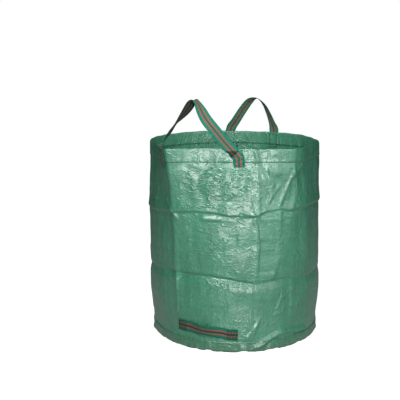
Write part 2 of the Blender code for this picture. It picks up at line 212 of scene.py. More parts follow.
def plan_point(column, z):
    """The smooth wall in plan at columns and heights, before any crease."""
    angle = np.radians(column)
    low = np.stack([RADIUS * np.sin(angle), -RADIUS * np.cos(angle)], -1)
    place = (column % 360) / FIELD_STEP
    whole = np.floor(place).astype(int)
    part = (place - whole)[..., None]
    high = MOUTH[whole % FIELD_COLUMNS] * (1 - part) + MOUTH[(whole + 1) % FIELD_COLUMNS] * part
    zone = np.clip((z - ROUND_BELOW_Z) / (MOUTH_ZONE_Z - ROUND_BELOW_Z), 0, 1)**2
    rim = np.clip((z - ROUND_BELOW_Z) / (HEIGHT - ROUND_BELOW_Z), 0, 1)**2
    share = (MOUTH_ZONE_SHARE * zone + (1 - MOUTH_ZONE_SHARE) * rim)[..., None]
    push = around_table(BASE_PUSH, column) * (1 - smooth(z, BASE_PUSH_LOW_Z, BASE_PUSH_HIGH_Z))
    low = low * (1 + push / RADIUS)[..., None]
    return low * (1 - share) + high * share


def way_round(column, z):
    """The direction in plan that goes round the bag at columns and heights."""
    return unit(plan_point(column + 1.0, z) - plan_point(column - 1.0, z))


def plan_normal(column, z):
    """The outward direction in plan at columns and heights."""
    ahead = way_round(column, z)
    return np.stack([ahead[..., 1], -ahead[..., 0]], -1)


# Creases left by folding the bag for storage: height at columns round the bag
UPPER_FOLD = (
    (-56, 0.505), (-40, 0.515), (-25, 0.524), (-4, 0.531), (6, 0.527), (17, 0.518),
    (32, 0.517), (40, 0.533), (50, 0.540), (56, 0.531), (65, 0.540), (77, 0.543),
    (100, 0.536), (130, 0.524), (160, 0.530), (190, 0.519), (220, 0.527), (250, 0.514),
    (280, 0.520),
)
LOWER_FOLD = (
    (-47, 0.282), (-28, 0.289), (-11, 0.288), (3, 0.285), (13, 0.277), (22, 0.268),
    (29, 0.260), (43, 0.267), (51, 0.270), (67, 0.259), (95, 0.268), (130, 0.276),
    (165, 0.270), (200, 0.281), (235, 0.272), (270, 0.277),
)

# Single creases, drawn upward or to the right: points (column, height), the height of the
# crease, and its reach to the left and to the right of the line
CREASES = (
    (((-21, 0.12), (-21, 0.29), (-20.5, 0.40), (-20, 0.60), (-20, 0.76)), 0.0032, 0.022, 0.014),
    (((28.8, 0.087), (29.5, 0.200), (29.5, 0.257)), 0.0026, 0.020, 0.008),
    (((30.5, 0.262), (32.2, 0.294), (33.5, 0.425), (34.8, 0.514)), 0.0024, 0.016, 0.006),
    (((34.8, 0.514), (36.0, 0.561), (36.5, 0.645), (36.8, 0.755)), 0.0038, 0.024, 0.009),
    (((24.0, 0.529), (34.8, 0.514)), 0.0030, 0.007, 0.007),
    (((34.8, 0.514), (41.5, 0.542)), 0.0024, 0.009, 0.007),
    (((34.8, 0.514), (39.8, 0.490)), 0.0020, 0.007, 0.009),
    (((30.8, 0.492), (34.8, 0.514)), 0.0020, 0.008, 0.007),
    (((22.0, 0.506), (34.5, 0.515)), 0.0030, 0.009, 0.005),
    (((15.0, 0.518), (22.0, 0.503)), 0.0018, 0.005, 0.006),
    (((1.5, 0.642), (8.0, 0.634), (12.0, 0.615)), 0.0020, 0.005, 0.007),
    (((-11.0, 0.641), (-7.5, 0.623)), 0.0020, 0.005, 0.007),
    (((-6.7, 0.672), (-4.5, 0.658)), 0.0020, 0.005, 0.006),
    (((18.5, 0.597), (26.0, 0.587)), 0.0018, 0.005, 0.007),
    (((20.0, 0.649), (24.3, 0.631)), 0.0020, 0.005, 0.007),
    (((32.0, 0.600), (35.0, 0.554)), 0.0022, 0.005, 0.007),
    (((38.0, 0.691), (42.0, 0.620), (46.3, 0.552)), 0.0032, 0.005, 0.008),
    (((41.0, 0.560), (50.0, 0.627)), 0.0040, 0.006, 0.010),
    (((57.0, 0.652), (68.0, 0.695)), 0.0040, 0.006, 0.010),
    (((-1.5, 0.4995), (17.0, 0.501)), 0.0016, 0.007, 0.008),
    (((39.2, 0.500), (52.2, 0.4975)), 0.0016, 0.007, 0.008),
    (((48.8, 0.550), (54.0, 0.610), (60.3, 0.681)), 0.0048, 0.006, 0.012),
    (((42.0, 0.560), (45.0, 0.620), (44.0, 0.690)), 0.0030, 0.009, 0.012),
    (((39.0, 0.682), (35.5, 0.747)), 0.0016, 0.009, 0.009),
    (((-36.3, 0.582), (-27.8, 0.566), (-22.8, 0.538), (-20.8, 0.525)), 0.0058, 0.006, 0.006),
    (((-20.8, 0.525), (-17.0, 0.491)), 0.0046, 0.006, 0.009),
    (((-40.8, 0.602), (-45.5, 0.547)), 0.0034, 0.006, 0.006),
    (((-1.0, 0.501), (5.0, 0.503), (11.5, 0.502)), 0.0036, 0.0065, 0.012),
    (((-22.5, 0.286), (-20.5, 0.273), (-20.8, 0.218), (-21.4, 0.130)), 0.0034, 0.007, 0.008),
    (((-46.8, 0.542), (-38.0, 0.581)), 0.0018, 0.009, 0.009),
    (((-24.5, 0.276), (-21.0, 0.264)), 0.0022, 0.007, 0.007),
    (((-21.0, 0.262), (-18.2, 0.283)), 0.0022, 0.007, 0.007),
    (((-21.0, 0.225), (-21.0, 0.262)), 0.0022, 0.007, 0.008),
    (((-11.5, 0.334), (-9.0, 0.487)), 0.0012, 0.012, 0.006),
    (((-17.8, 0.135), (-18.5, 0.259)), 0.0018, 0.007, 0.008),
    (((-11.5, 0.141), (-11.2, 0.246)), 0.0014, 0.008, 0.008),
    (((-3.2, 0.125), (-4.0, 0.251)), 0.0012, 0.008, 0.010),
    (((31.0, 0.008), (40.3, 0.043), (48.5, 0.061), (58.0, 0.061), (73.5, 0.050)),
     0.0085, 0.016, 0.006),
    (((26.0, 0.054), (33.0, 0.111)), 0.0040, 0.008, 0.008),
    (((29.0, 0.056), (32.5, 0.095), (34.0, 0.130)), 0.0036, 0.007, 0.008),
    (((44.5, 0.139), (52.2, 0.149)), 0.0036, 0.007, 0.012),
    (((47.0, 0.162), (51.2, 0.219)), 0.0030, 0.006, 0.010),
    (((64.0, 0.166), (71.0, 0.199)), 0.0030, 0.006, 0.010),
    (((53.5, 0.160), (64.0, 0.158)), 0.0024, 0.008, 0.005),
    (((70.0, 0.087), (90.0, 0.094)), 0.0030, 0.012, 0.006),
    (((49.0, 0.190), (58.8, 0.228)), 0.0022, 0.010, 0.008),
    (((45.2, 0.154), (53.8, 0.155)), 0.0024, 0.014, 0.005),
    (((63.0, 0.145), (66.5, 0.188)), 0.0018, 0.009, 0.009),
    (((7.5, 0.048), (24.0, 0.049)), 0.0020, 0.008, 0.006),
    (((43.0, 0.275), (48.0, 0.340), (48.0, 0.440), (50.0, 0.530)), 0.0022, 0.020, 0.012),
    (((58.0, 0.530), (62.0, 0.600), (60.0, 0.700)), 0.0026, 0.018, 0.014),
    (((73.0, 0.570), (70.0, 0.660)), 0.0022, 0.018, 0.018),
    (((-33.0, 0.330), (-34.0, 0.460)), 0.0020, 0.020, 0.020),
    (((-62.0, 0.560), (-60.0, 0.720)), 0.0026, 0.024, 0.024),
    (((-50.0, 0.300), (-52.0, 0.500)), 0.0022, 0.026, 0.026),
    (((100.0, 0.540), (96.0, 0.740)), 0.0030, 0.028, 0.012),
    (((117.0, 0.530), (112.0, 0.600), (118.0, 0.740)), 0.0028, 0.012, 0.026),
    (((131.0, 0.290), (128.0, 0.510)), 0.0028, 0.028, 0.014),
    (((86.0, 0.280), (88.0, 0.520)), 0.0026, 0.028, 0.028),
    (((154.0, 0.530), (150.0, 0.730)), 0.0026, 0.010, 0.026),
    (((168.0, 0.280), (165.0, 0.520)), 0.0026, 0.028, 0.014),
    (((220.0, 0.550), (224.0, 0.740)), 0.0030, 0.028, 0.012),
    (((216.0, 0.280), (212.0, 0.520)), 0.0028, 0.014, 0.028),
    (((250.0, 0.540), (246.0, 0.730)), 0.0026, 0.026, 0.010),
    (((258.0, 0.290), (262.0, 0.510)), 0.0030, 0.014, 0.028),
    (((272.0, 0.540), (276.0, 0.740)), 0.0026, 0.026, 0.012),
    (((292.0, 0.280), (289.0, 0.510)), 0.0028, 0.028, 0.014),
    (((114.0, 0.100), (110.0, 0.270)), 0.0020, 0.026, 0.012),
    (((180.0, 0.090), (185.0, 0.270)), 0.0022, 0.026, 0.012),
    (((240.0, 0.100), (236.0, 0.260)), 0.0020, 0.012, 0.026),
    (((298.0, 0.090), (300.0, 0.270)), 0.0020, 0.026, 0.012),
    (((104.0, 0.560), (112.0, 0.610)), 0.0022, 0.008, 0.012),
    (((140.0, 0.545), (149.0, 0.590)), 0.0022, 0.008, 0.012),
    (((205.0, 0.600), (216.0, 0.550)), 0.0024, 0.008, 0.012),
    (((232.0, 0.555), (241.0, 0.610)), 0.0022, 0.008, 0.012),
    (((122.0, 0.110), (136.0, 0.160)), 0.0022, 0.010, 0.010),
    (((196.0, 0.150), (209.0, 0.095)), 0.0022, 0.010, 0.010),
    (((266.0, 0.100), (277.0, 0.165)), 0.0022, 0.010, 0.010),
)

# Crumpled places: column and height of the middle, reach in degrees and metres, strength
CRUMPLED = (
    (8, 0.640, 26, 0.090, 1.00), (6, 0.545, 26, 0.016, 0.90), (60, 0.640, 24, 0.090, 0.60),
    (-40, 0.640, 16, 0.090, 0.50), (14, 0.262, 20, 0.016, 1.00), (100, 0.640, 20, 0.090, 0.70),
    (150, 0.640, 30, 0.100, 0.90), (215, 0.640, 40, 0.100, 0.90), (290, 0.620, 30, 0.090, 0.70),
    (46, 0.100, 20, 0.070, 0.45), (48, 0.200, 16, 0.040, 0.50), (-25, 0.280, 8, 0.020, 0.80),
)
# Sewn webbing presses the cloth flat: column, half width in degrees, lowest and highest point
SEWN_PLACES = (
    (-25.2, 4.6, 0.685, 0.770), (25.2, 4.6, 0.685, 0.770), (169.8, 4.6, 0.685, 0.770),
    (202.2, 4.6, 0.685, 0.770), (-16.9, 4.8, 0.050, 0.115), (16.9, 4.8, 0.045, 0.105),
)


# Folds right across the bag: the line that they follow and how far below it they lie, their
# height at the back, what the front adds to it, the front's middle column and where it is
# full and gone, and the fold's reach above and below
FOLD_PROFILES = (
    (UPPER_FOLD, 0.000, 0.0026, 0.0000, (6, 24, 32), 0.034, 0.007),
    (UPPER_FOLD, 0.000, 0.0022, 0.0000, (6, 24, 32), 0.050, 0.040),
    (UPPER_FOLD, 0.008, -0.0014, -0.0014, (6, 24, 32), 0.006, 0.014),
    (LOWER_FOLD, 0.000, -0.0028, -0.0036, (-1, 27, 34), 0.007, 0.030),
    (LOWER_FOLD, 0.000, -0.0020, 0.0000, (-1, 27, 34), 0.050, 0.035),
)

# Crumples are layers of small faces, each of a size in metres, a stretch upright and a seed:
# a coarse layer less a share of a finer one, for crumples that run every way or upright
EVEN_LAYERS = ((0.030, 1.0, 3), (0.021, 1.0, 4))
UPRIGHT_LAYERS = ((0.024, 0.42, 5), (0.017, 0.5, 6))
FINER_SHARE = 0.7
FACE_JITTER = 0.45
FACE_TILT_SHARE = 0.075
FACE_DOME_SHARE = 0.050
# How much of the faces' height the crumples take, how strong they are where the cloth is
# plain and at the middle of a crumpled place, the most that the shape takes, and their fall
CRUMPLE_SHARE = 0.62
LEAST_STRENGTH = 0.80
FULL_STRENGTH = 2.1
MOST_STRENGTH_IN_SHAPE = 1.3
STRENGTH_FALL = 0.8
# The hem calms the crumples, from the low to the high end of a zone
HEM_CALM_SHARE = 0.4
HEM_CALM_Z = (0.700, 0.715)

# Where crumples run upright: away from the front (its middle, where it is full and gone),
# and to a share between two zones of height
FRONT_COLUMNS = (14, 30, 44)
LOW_UPRIGHT_SHARE = 0.7
LOW_UPRIGHT_FROM_Z = (0.06, 0.12)
LOW_UPRIGHT_TO_Z = (0.20, 0.30)

# Small waves: the slow sag's height, and its waves by share, number round the bag, turn per
# metre up and start; puckers at the base row and the hem row of stitches, by their height,
# level and reach; and the ridge over the side seam
SAG = 0.0011
SAG_WAVES = ((1.0, 3, 9, 0.6), (0.8, 5, -14, 2.1), (0.6, 8, 21, 4.0))
SAG_FROM_Z = (0.05, 0.16)
SAG_TO_Z = (0.66, 0.72)
PUCKERS = ((0.00055, 0.044, 0.016), (0.00028, HEM_STITCH_Z, 0.010))
SEAM_RIDGE = 0.0012
SEAM_RIDGE_REACH = 0.010

# A crease fades out over this length on both sides of its ends
CREASE_FADE = 0.008
# The share that sewn webbing takes off the crumples and off the creases, and how it fades
SEWN_CALM_SHARE = 0.92
SEWN_FLAT_SHARE = 0.75
SEWN_FADE_DEGREES = 3
SEWN_FADE = 0.012
# The cloth goes smooth at its foot, from this height down
CREASES_START_Z = 0.03


def add_crease(field, start, end, height, left, right):
    """Raise a straight crease in the field between two places (column, height)."""
    reach = max(left, right)
    start, end = np.array(start, float), np.array(end, float)
    scale = np.array([AROUND / 360, 1.0])
    ahead = (end - start) * scale
    length = math.hypot(*ahead)
    low = np.minimum(start, end) - reach / scale
    high = np.maximum(start, end) + reach / scale
    columns = np.arange(math.floor(low[0] / FIELD_STEP), math.ceil(high[0] / FIELD_STEP) + 1)
    rows = np.arange(max(0, math.floor(low[1] / FIELD_RISE)),
                     min(FIELD_ROWS - 1, math.ceil(high[1] / FIELD_RISE)) + 1)
    x = (columns[:, None] * FIELD_STEP - start[0]) * scale[0]
    y = rows[None, :] * FIELD_RISE - start[1]
    along = (x * ahead[0] + y * ahead[1]) / length
    aside = (x * ahead[1] - y * ahead[0]) / length
    ends = smooth(along, -CREASE_FADE, CREASE_FADE) * (
        1 - smooth(along, length - CREASE_FADE, length + CREASE_FADE))
    field[np.ix_(columns % FIELD_COLUMNS, rows)] += height * tent(aside, right, left) * ends


def tent(away, ahead, behind):
    """1 on a line, falling to 0 at a reach ahead of it and a reach behind it."""
    return np.clip(np.where(away > 0, 1 - away / ahead, 1 + away / behind), 0, 1)


def small_faces(column, z, size, stretch, seed):
    """A crumpled height of small faces about size metres wide, stretched upright."""
    draw = np.random.default_rng(seed)
    across = round(AROUND / size)
    up = math.ceil(HEIGHT * stretch / size) + 6
    x, y = np.broadcast_arrays((column % 360) / 360 * across, z * stretch / size + 3)
    jitter = draw.uniform(-FACE_JITTER, FACE_JITTER, (2, across, up))
    slope = draw.normal(0, FACE_TILT_SHARE, (2, across, up)) * size
    i, j = np.floor(x).astype(int), np.floor(y).astype(int)
    height = np.full(x.shape, -1.0)
    for a in (-2, -1, 0, 1, 2):
        for b in (-2, -1, 0, 1, 2):
            p, q = (i + a) % across, np.clip(j + b, 0, up - 1)
            dx = x - (i + a + 0.5 + jitter[0, p, q])
            dy = y - (j + b + 0.5 + jitter[1, p, q])
            dome = FACE_DOME_SHARE * size * (dx**2 + dy**2)
            height = np.maximum(height, slope[0, p, q] * dx + slope[1, p, q] * dy - dome)
    return height


def layered(column, z, layers):
    """A coarse layer of small faces less a share of a finer one."""
    coarse, finer = (small_faces(column, z, *layer) for layer in layers)
    return coarse - FINER_SHARE * finer


def strength_at(column, z):
    """How crumpled the cloth is at columns and heights."""
    column, z = np.broadcast_arrays(np.asarray(column, float), np.asarray(z, float))
    strength = np.full(column.shape, LEAST_STRENGTH)
    for middle, middle_z, wide, tall, amount in CRUMPLED:
        reach = (wrapped(column - middle) / wide)**2 + ((z - middle_z) / tall)**2
        strength = np.maximum(strength, FULL_STRENGTH * amount * np.exp(-STRENGTH_FALL * reach**2))
    return strength


def upright_at(column, z):
    """Where the crumples run upright: 0 in the front, 1 at the sides, much of it low down."""
    beside = 1 - near(column, *FRONT_COLUMNS)
    low = smooth(z, *LOW_UPRIGHT_FROM_Z) * (1 - smooth(z, *LOW_UPRIGHT_TO_Z))
    low = LOW_UPRIGHT_SHARE * low
    return np.maximum(beside, low)


def crumples_at(column, z):
    """The crumples over the whole wall, with their sharpest edges softened."""
    upright = upright_at(column, z)
    mixed = (layered(column, z, EVEN_LAYERS) * (1 - upright)
             + layered(column, z, UPRIGHT_LAYERS) * upright)
    strength = np.minimum(strength_at(column, z), MOST_STRENGTH_IN_SHAPE)
    crumples = strength * CRUMPLE_SHARE * mixed
    crumples *= 1 - HEM_CALM_SHARE * smooth(z, *HEM_CALM_Z)
    for axis in (0, 1, 0, 1):
        crumples = (np.roll(crumples, 1, axis) + 2 * crumples + np.roll(crumples, -1, axis)) / 4
    return crumples


def flat_faces(column, z):
    """How far the cloth lies inside the round between its upright corners."""
    wander = 1.8 * np.sin(9 * z + 0.05 * column) + 0.9 * np.sin(23 * z + 1.0)
    column = column + wander
    corners = np.array(sorted(corner % 360 for corner in CORNERS), float)
    after = np.searchsorted(corners, column % 360) % len(corners)
    left = corners[after - 1]
    wide = (corners[after] - left) % 360
    half = np.radians(wide / 2)
    place = np.radians((column - left) % 360) - half
    inside = RADIUS * (np.cos(place) - np.cos(half))
    mean = RADIUS * (np.sin(half) / half - np.cos(half))
    inside = (inside - FLAT_MIDDLE_SHARE * mean) * np.minimum(1, WIDEST_FLAT_FACE / wide)
    zone = smooth(z, *FLAT_FROM_Z) * (1 - smooth(z, *FLAT_TO_Z))
    zone = zone * (FLAT_LOW_SHARE + FLAT_MORE_SHARE * smooth(z, *FLAT_MORE_Z))
    return FLATNESS * inside * zone


def folds_at(column, z):
    """The folds right across the bag."""
    height = 0.0
    for line, below, back, more, front, ahead, behind in FOLD_PROFILES:
        away = z - around_table(line, column) + below
        height = height + (back + more * near(column, *front)) * tent(away, ahead, behind)
    return height


def pucker(angle):
    """Fine uneven waves round the bag, where stitches gather the cloth."""
    return np.sin(angle * 83 + 2 * np.sin(angle * 7)) + 0.7 * np.sin(angle * 131 + 1.3)


def waves_at(column, z):
    """The slow sag of the cloth, the puckers at its stitches and the ridge over the seam."""
    angle = np.radians(column)
    sag = sum(share * np.sin(count * angle + rise * z + start)
              for share, count, rise, start in SAG_WAVES)
    height = SAG * sag * smooth(z, *SAG_FROM_Z) * (1 - smooth(z, *SAG_TO_Z))
    for amount, row_z, reach in PUCKERS:
        height = height + amount * pucker(angle) * np.exp(-np.abs(z - row_z) / reach)
    aside = wrapped(column - SEAM_COLUMN) * AROUND / 360
    return height + SEAM_RIDGE * tent(aside, SEAM_RIDGE_REACH, SEAM_RIDGE_REACH)


def crease_field():
    """How far the cloth stands out from its smooth shape, over the whole wall."""
    column = (np.arange(FIELD_COLUMNS) * FIELD_STEP)[:, None]
    z = (np.arange(FIELD_ROWS) * FIELD_RISE)[None, :]
    crumples = crumples_at(column, z)
    field = np.zeros((FIELD_COLUMNS, FIELD_ROWS))
    for points, height, left, right in CREASES:
        for start, end in zip(points, points[1:]):
            add_crease(field, start, end, height, left, right)
    field += folds_at(column, z) + waves_at(column, z) - flat_faces(column, z)
    for middle, half, low, high in SEWN_PLACES:
        sewn = near(column, middle, half, half + SEWN_FADE_DEGREES)
        sewn = sewn * smooth(z, low - SEWN_FADE, low) * (1 - smooth(z, high, high + SEWN_FADE))
        crumples *= 1 - SEWN_CALM_SHARE * sewn
        field *= 1 - SEWN_FLAT_SHARE * sewn
    return (field + crumples) * smooth(z, 0.0, CREASES_START_Z)


FIELD = crease_field()


def standing_out(column, z):
    """The crease field at columns and heights."""
    across = (column % 360) / FIELD_STEP
    up = np.clip(z / FIELD_RISE, 0, FIELD_ROWS - 1.001)
    i, j = np.floor(across).astype(int), np.floor(up).astype(int)
    a, b = across - i, up - j
    i, after = i % FIELD_COLUMNS, (i + 1) % FIELD_COLUMNS
    return ((FIELD[i, j] * (1 - a) + FIELD[after, j] * a) * (1 - b)
            + (FIELD[i, j + 1] * (1 - a) + FIELD[after, j + 1] * a) * b)


def smooth_point(column, z, off):
    """Points of the wall without its creases, off metres outside its middle."""
    column, z = np.broadcast_arrays(np.asarray(column, float), np.asarray(z, float))
    off = np.broadcast_to(off, z.shape)[..., None]
    return np.concatenate([plan_point(column, z) + plan_normal(column, z) * off, z[..., None]], -1)


def cloth_point(column, z, off=0.0):
    """Points of the creased wall, off metres outside its middle."""
    column, z = np.broadcast_arrays(np.asarray(column, float), np.asarray(z, float))
    return smooth_point(column, z, standing_out(column, z) + off)


# Making meshes

# Edges of a rolled sheet that are as close as this are joined
WELD_DISTANCE = 0.00002
# How much of the crumples' strength the material gets, more at the mouth's far side, from
# where to where in columns away from the front and in height
MATERIAL_CRUMPLE_SHARE = 0.8
FAR_COLUMNS = (0, 100, 130)
FAR_Z = (0.690, 0.700)


def clear_selection():
    """Leave nothing selected, so that an operator acts on the new piece alone."""
    if bpy.context.object is not None and bpy.context.object.mode != "OBJECT":
        bpy.ops.object.mode_set(mode="OBJECT")
    bpy.ops.object.select_all(action="DESELECT")


def points_of(piece):
    """The vertices of a piece, one row for each."""
    points = np.empty(len(piece.data.vertices) * 3)
    piece.data.vertices.foreach_get("co", points)
    return points.reshape(-1, 3)


def place_points(piece, points):
    """Move the vertices of a piece."""
    piece.data.vertices.foreach_set("co", points.astype(np.float32).ravel())
    piece.data.update()


def uv_of(piece):
    """The UV map of a piece, one row for each face corner."""
    layer = piece.data.uv_layers.active.data
    places = np.empty(len(layer) * 2, np.float32)
    layer.foreach_get("uv", places)
    return places.reshape(-1, 2)


def flat_sheet(name, across, along, size, respace=()):
    """A flat cut of cloth of a size in metres, with its UV map in metres.

    The functions in respace draw its rows across and along closer together in places.
    """
    clear_selection()
    bpy.ops.mesh.primitive_grid_add(x_subdivisions=across, y_subdivisions=along, size=1.0)
    piece = bpy.context.object
    piece.name = piece.data.name = name
    places, points = uv_of(piece), points_of(piece)
    for axis, draw in enumerate(respace):
        places[:, axis] = draw(places[:, axis])
        points[:, axis] = draw(points[:, axis] + 0.5) - 0.5
    place_points(piece, points)
    places = places * np.array(size, np.float32)
    piece.data.uv_layers.active.data.foreach_set("uv", places.ravel())
    return piece


def shape(piece, route):
    """Move the vertices of a flat sheet; route takes their shares across and along."""
    flat = points_of(piece) + 0.5
    place_points(piece, route(flat[:, 0], flat[:, 1]))


def edit_all(change):
    """Run one operator on the whole mesh of the new piece."""
    bpy.ops.object.mode_set(mode="EDIT")
    bpy.ops.mesh.select_all(action="SELECT")
    change()
    bpy.ops.object.mode_set(mode="OBJECT")


def weld():
    """Join the edges of a rolled sheet where they meet."""
    edit_all(lambda: bpy.ops.mesh.remove_doubles(threshold=WELD_DISTANCE))


def thicken(piece, thickness, inner_slot=0, even=True):
    """Give a sheet its thickness on both sides of its middle."""
    cloth = piece.modifiers.new("cloth", "SOLIDIFY")
    cloth.thickness = thickness
    cloth.offset = 0
    cloth.use_even_offset = even
    cloth.thickness_clamp = 2
    cloth.material_offset = inner_slot
    bpy.ops.object.modifier_apply(modifier="cloth")
    bpy.ops.object.shade_smooth()


def note_crumples(piece):
    """Keep how crumpled the cloth is at each point of a piece for its material."""
    points = points_of(piece)
    column, z = np.degrees(np.arctan2(points[:, 0], -points[:, 1])), points[:, 2]
    far = (1 - near(column, *FAR_COLUMNS)) * smooth(z, *FAR_Z)
    amount = MATERIAL_CRUMPLE_SHARE * strength_at(column, z) * (1 + far)
    for key, values in (("crumple", amount), ("upright", upright_at(column, z))):
        noted = piece.data.attributes.new(key, "FLOAT", "POINT")
        noted.data.foreach_set("value", values.astype(np.float32))


# Materials


class Nodes:
    """A small hand for laying out the nodes of a material or of the world."""

    def __init__(self, owner, shader="Principled BSDF"):
        owner.use_nodes = True
        self.owner = owner
        self.tree = owner.node_tree
        self.shader = self.tree.nodes[shader]

    def give(self, node, inputs):
        """Set or link a node's inputs."""
        for key, value in inputs.items():
            socket = node.inputs[key]
            if isinstance(value, bpy.types.NodeSocket):
                self.tree.links.new(value, socket)
            else:
                socket.default_value = value

    def add(self, kind, inputs=None, **settings):
        """A node with its settings, and its inputs set or linked."""
        node = self.tree.nodes.new(kind)
        for key, value in settings.items():
            setattr(node, key, value)
        self.give(node, inputs or {})
        return node

    def math(self, operation, *values):
        """A math node's result."""
        node = self.add("ShaderNodeMath", dict(enumerate(values)), operation=operation)
        return node.outputs[0]

    def vector(self, operation, first, second):
        """A vector math node's result."""
        node = self.add("ShaderNodeVectorMath", {0: first, 1: second}, operation=operation)
        return node.outputs[0]

    def between(self, share, first, second):
        """A mix of two numbers."""
        return self.add("ShaderNodeMix", {0: share, 2: first, 3: second}).outputs[0]

    def mix(self, share, first, second):
        """A mix of two colours."""
        node = self.add("ShaderNodeMix", data_type="RGBA")
        self.give(node, {0: share, 6: first, 7: second})
        return node.outputs[2]

    def ramp(self, value, *stops):
        """A colour ramp of (place, colour) stops."""
        node = self.add("ShaderNodeValToRGB", {"Fac": value})
        ramp = node.color_ramp
        while len(ramp.elements) < len(stops):
            ramp.elements.new(0.5)
        for element, (place, colour) in zip(ramp.elements, stops):
            element.position = place
            element.color = colour
        return node.outputs["Color"]

    def noise(self, place, scale, detail=3.0, roughness=0.55):
        """Noise, from 0 to 1."""
        node = self.add("ShaderNodeTexNoise", {"Vector": place, "Scale": scale,
                                               "Detail": detail, "Roughness": roughness})
        return node.outputs["Fac"]

    def wave(self, place, scale, direction, distortion=0.0, detail=2.0):
        """Bands that run across a direction, from 0 to 1."""
        node = self.add("ShaderNodeTexWave", {"Vector": place, "Scale": scale,
                                              "Distortion": distortion, "Detail": detail},
                        bands_direction=direction, wave_profile="SIN")
        return node.outputs["Fac"]

    def bump(self, height, strength, distance, **under):
        """A normal bent by heights; the normal under it may be given."""
        return self.add("ShaderNodeBump", {"Height": height, "Strength": strength,
                                           "Distance": distance, **under}).outputs["Normal"]

    def noted(self, key):
        """A number that the mesh keeps at each of its points."""
        return self.add("ShaderNodeAttribute", attribute_name=key).outputs["Fac"]

    def uv_place(self):
        """The UV map, in metres on the flat sheet."""
        return self.add("ShaderNodeUVMap").outputs["UV"]

    def space_place(self):
        """The place in space, in metres."""
        return self.add("ShaderNodeTexCoord").outputs["Object"]


def grey(value):
    """A grey colour."""
    return (value, value, value, 1.0)


def tinted(colour, shares):
    """A colour made lighter or darker, by one share or by one for each channel."""
    pairs = zip(colour, np.broadcast_to(shares, 3))
    return (*(min(1.0, float(channel * share)) for channel, share in pairs), 1.0)


def crinkles(n, space):
    """Fine ridges where bent noise crosses its middle, level or upright, in patches."""
    away = n.add("ShaderNodeTexNoise", {"Vector": space, "Scale": 14.0}).outputs["Color"]
    bent = n.vector("ADD", space, n.vector("MULTIPLY", away, (0.05, 0.05, 0.05)))
    heights = []
    for stretch in ((1.0, 1.0, 2.2), (1.8, 1.8, 0.5)):
        place = n.vector("MULTIPLY", bent, stretch)
        layers = []
        for size, share in ((16.0, 0.50), (31.0, 0.42)):
            line = n.noise(place, size, detail=2.0, roughness=0.5)
            line = n.math("ABSOLUTE", n.math("SUBTRACT", line, 0.5))
            line = n.math("MAXIMUM", n.math("SUBTRACT", 1.0, n.math("MULTIPLY", line, 16.0)), 0.0)
            patch = n.math("SUBTRACT", n.noise(place, size * 1.7, detail=1.0), 0.46)
            patch = n.math("MINIMUM", n.math("MAXIMUM", n.math("MULTIPLY", patch, 9.0), 0.0), 1.0)
            layers.append(n.math("MULTIPLY", n.math("MULTIPLY", line, patch), share))
        heights.append(n.math("ADD", *layers))
    return n.between(n.noted("upright"), *heights)


def cloth_material(name, colour, roughness, crinkle):
    """Glossy laminated cloth woven of flat tapes, with crinkles and a faint square grid of darker
    lines.
    """
    n = Nodes(bpy.data.materials.new(name))
    flat, space = n.uv_place(), n.space_place()
    over = n.add("ShaderNodeTexChecker", {"Vector": flat, "Scale": 380.0}).outputs["Fac"]
    weave = n.between(over, n.wave(flat, 120.0, "X"), n.wave(flat, 120.0, "Y"))
    # A faint square grid of darker lines, in the colour alone.
    lines = n.math("MAXIMUM", n.wave(flat, 6.6, "X", distortion=0.6, detail=1.0),
                   n.wave(flat, 7.4, "Y", distortion=0.6, detail=1.0))
    lines = n.math("POWER", lines, 14.0)

    broad = n.noise(space, 9.0)
    mottle = n.noise(space, 60.0, detail=4.0, roughness=0.6)
    grain = n.noise(space, 210.0, detail=2.0, roughness=0.6)
    tone = n.math("ADD", n.math("MULTIPLY", mottle, 0.25), n.math("MULTIPLY", grain, 0.5))
    tone = n.math("ADD", n.math("MULTIPLY", broad, 0.25), tone)
    shade = n.ramp(tone, (0.34, tinted(colour, 0.58)), (0.50, tinted(colour, 0.96)),
                   (0.66, tinted(colour, 1.34)))
    shade = n.mix(n.math("MULTIPLY", lines, 0.22), shade, tinted(colour, 0.62))
    shade = n.mix(n.math("MULTIPLY", weave, 0.16), shade, tinted(colour, 1.35))

    height = n.math("ADD", n.math("MULTIPLY", mottle, 0.35), crinkles(n, space))
    height = n.math("MULTIPLY", height, n.noted("crumple"))
    woven = n.bump(weave, strength=0.10, distance=0.0006)
    bent = n.bump(height, strength=crinkle, distance=0.0022, Normal=woven)
    n.give(n.shader, {
        "Base Color": shade,
        "Roughness": n.math("ADD", n.math("MULTIPLY", mottle, 0.22), roughness - 0.10),
        "Specular IOR Level": 0.9,
        "Coat Weight": 1.0,
        "Coat Roughness": 0.20,
        "Normal": bent,
        "Coat Normal": bent,
    })
    return n.owner


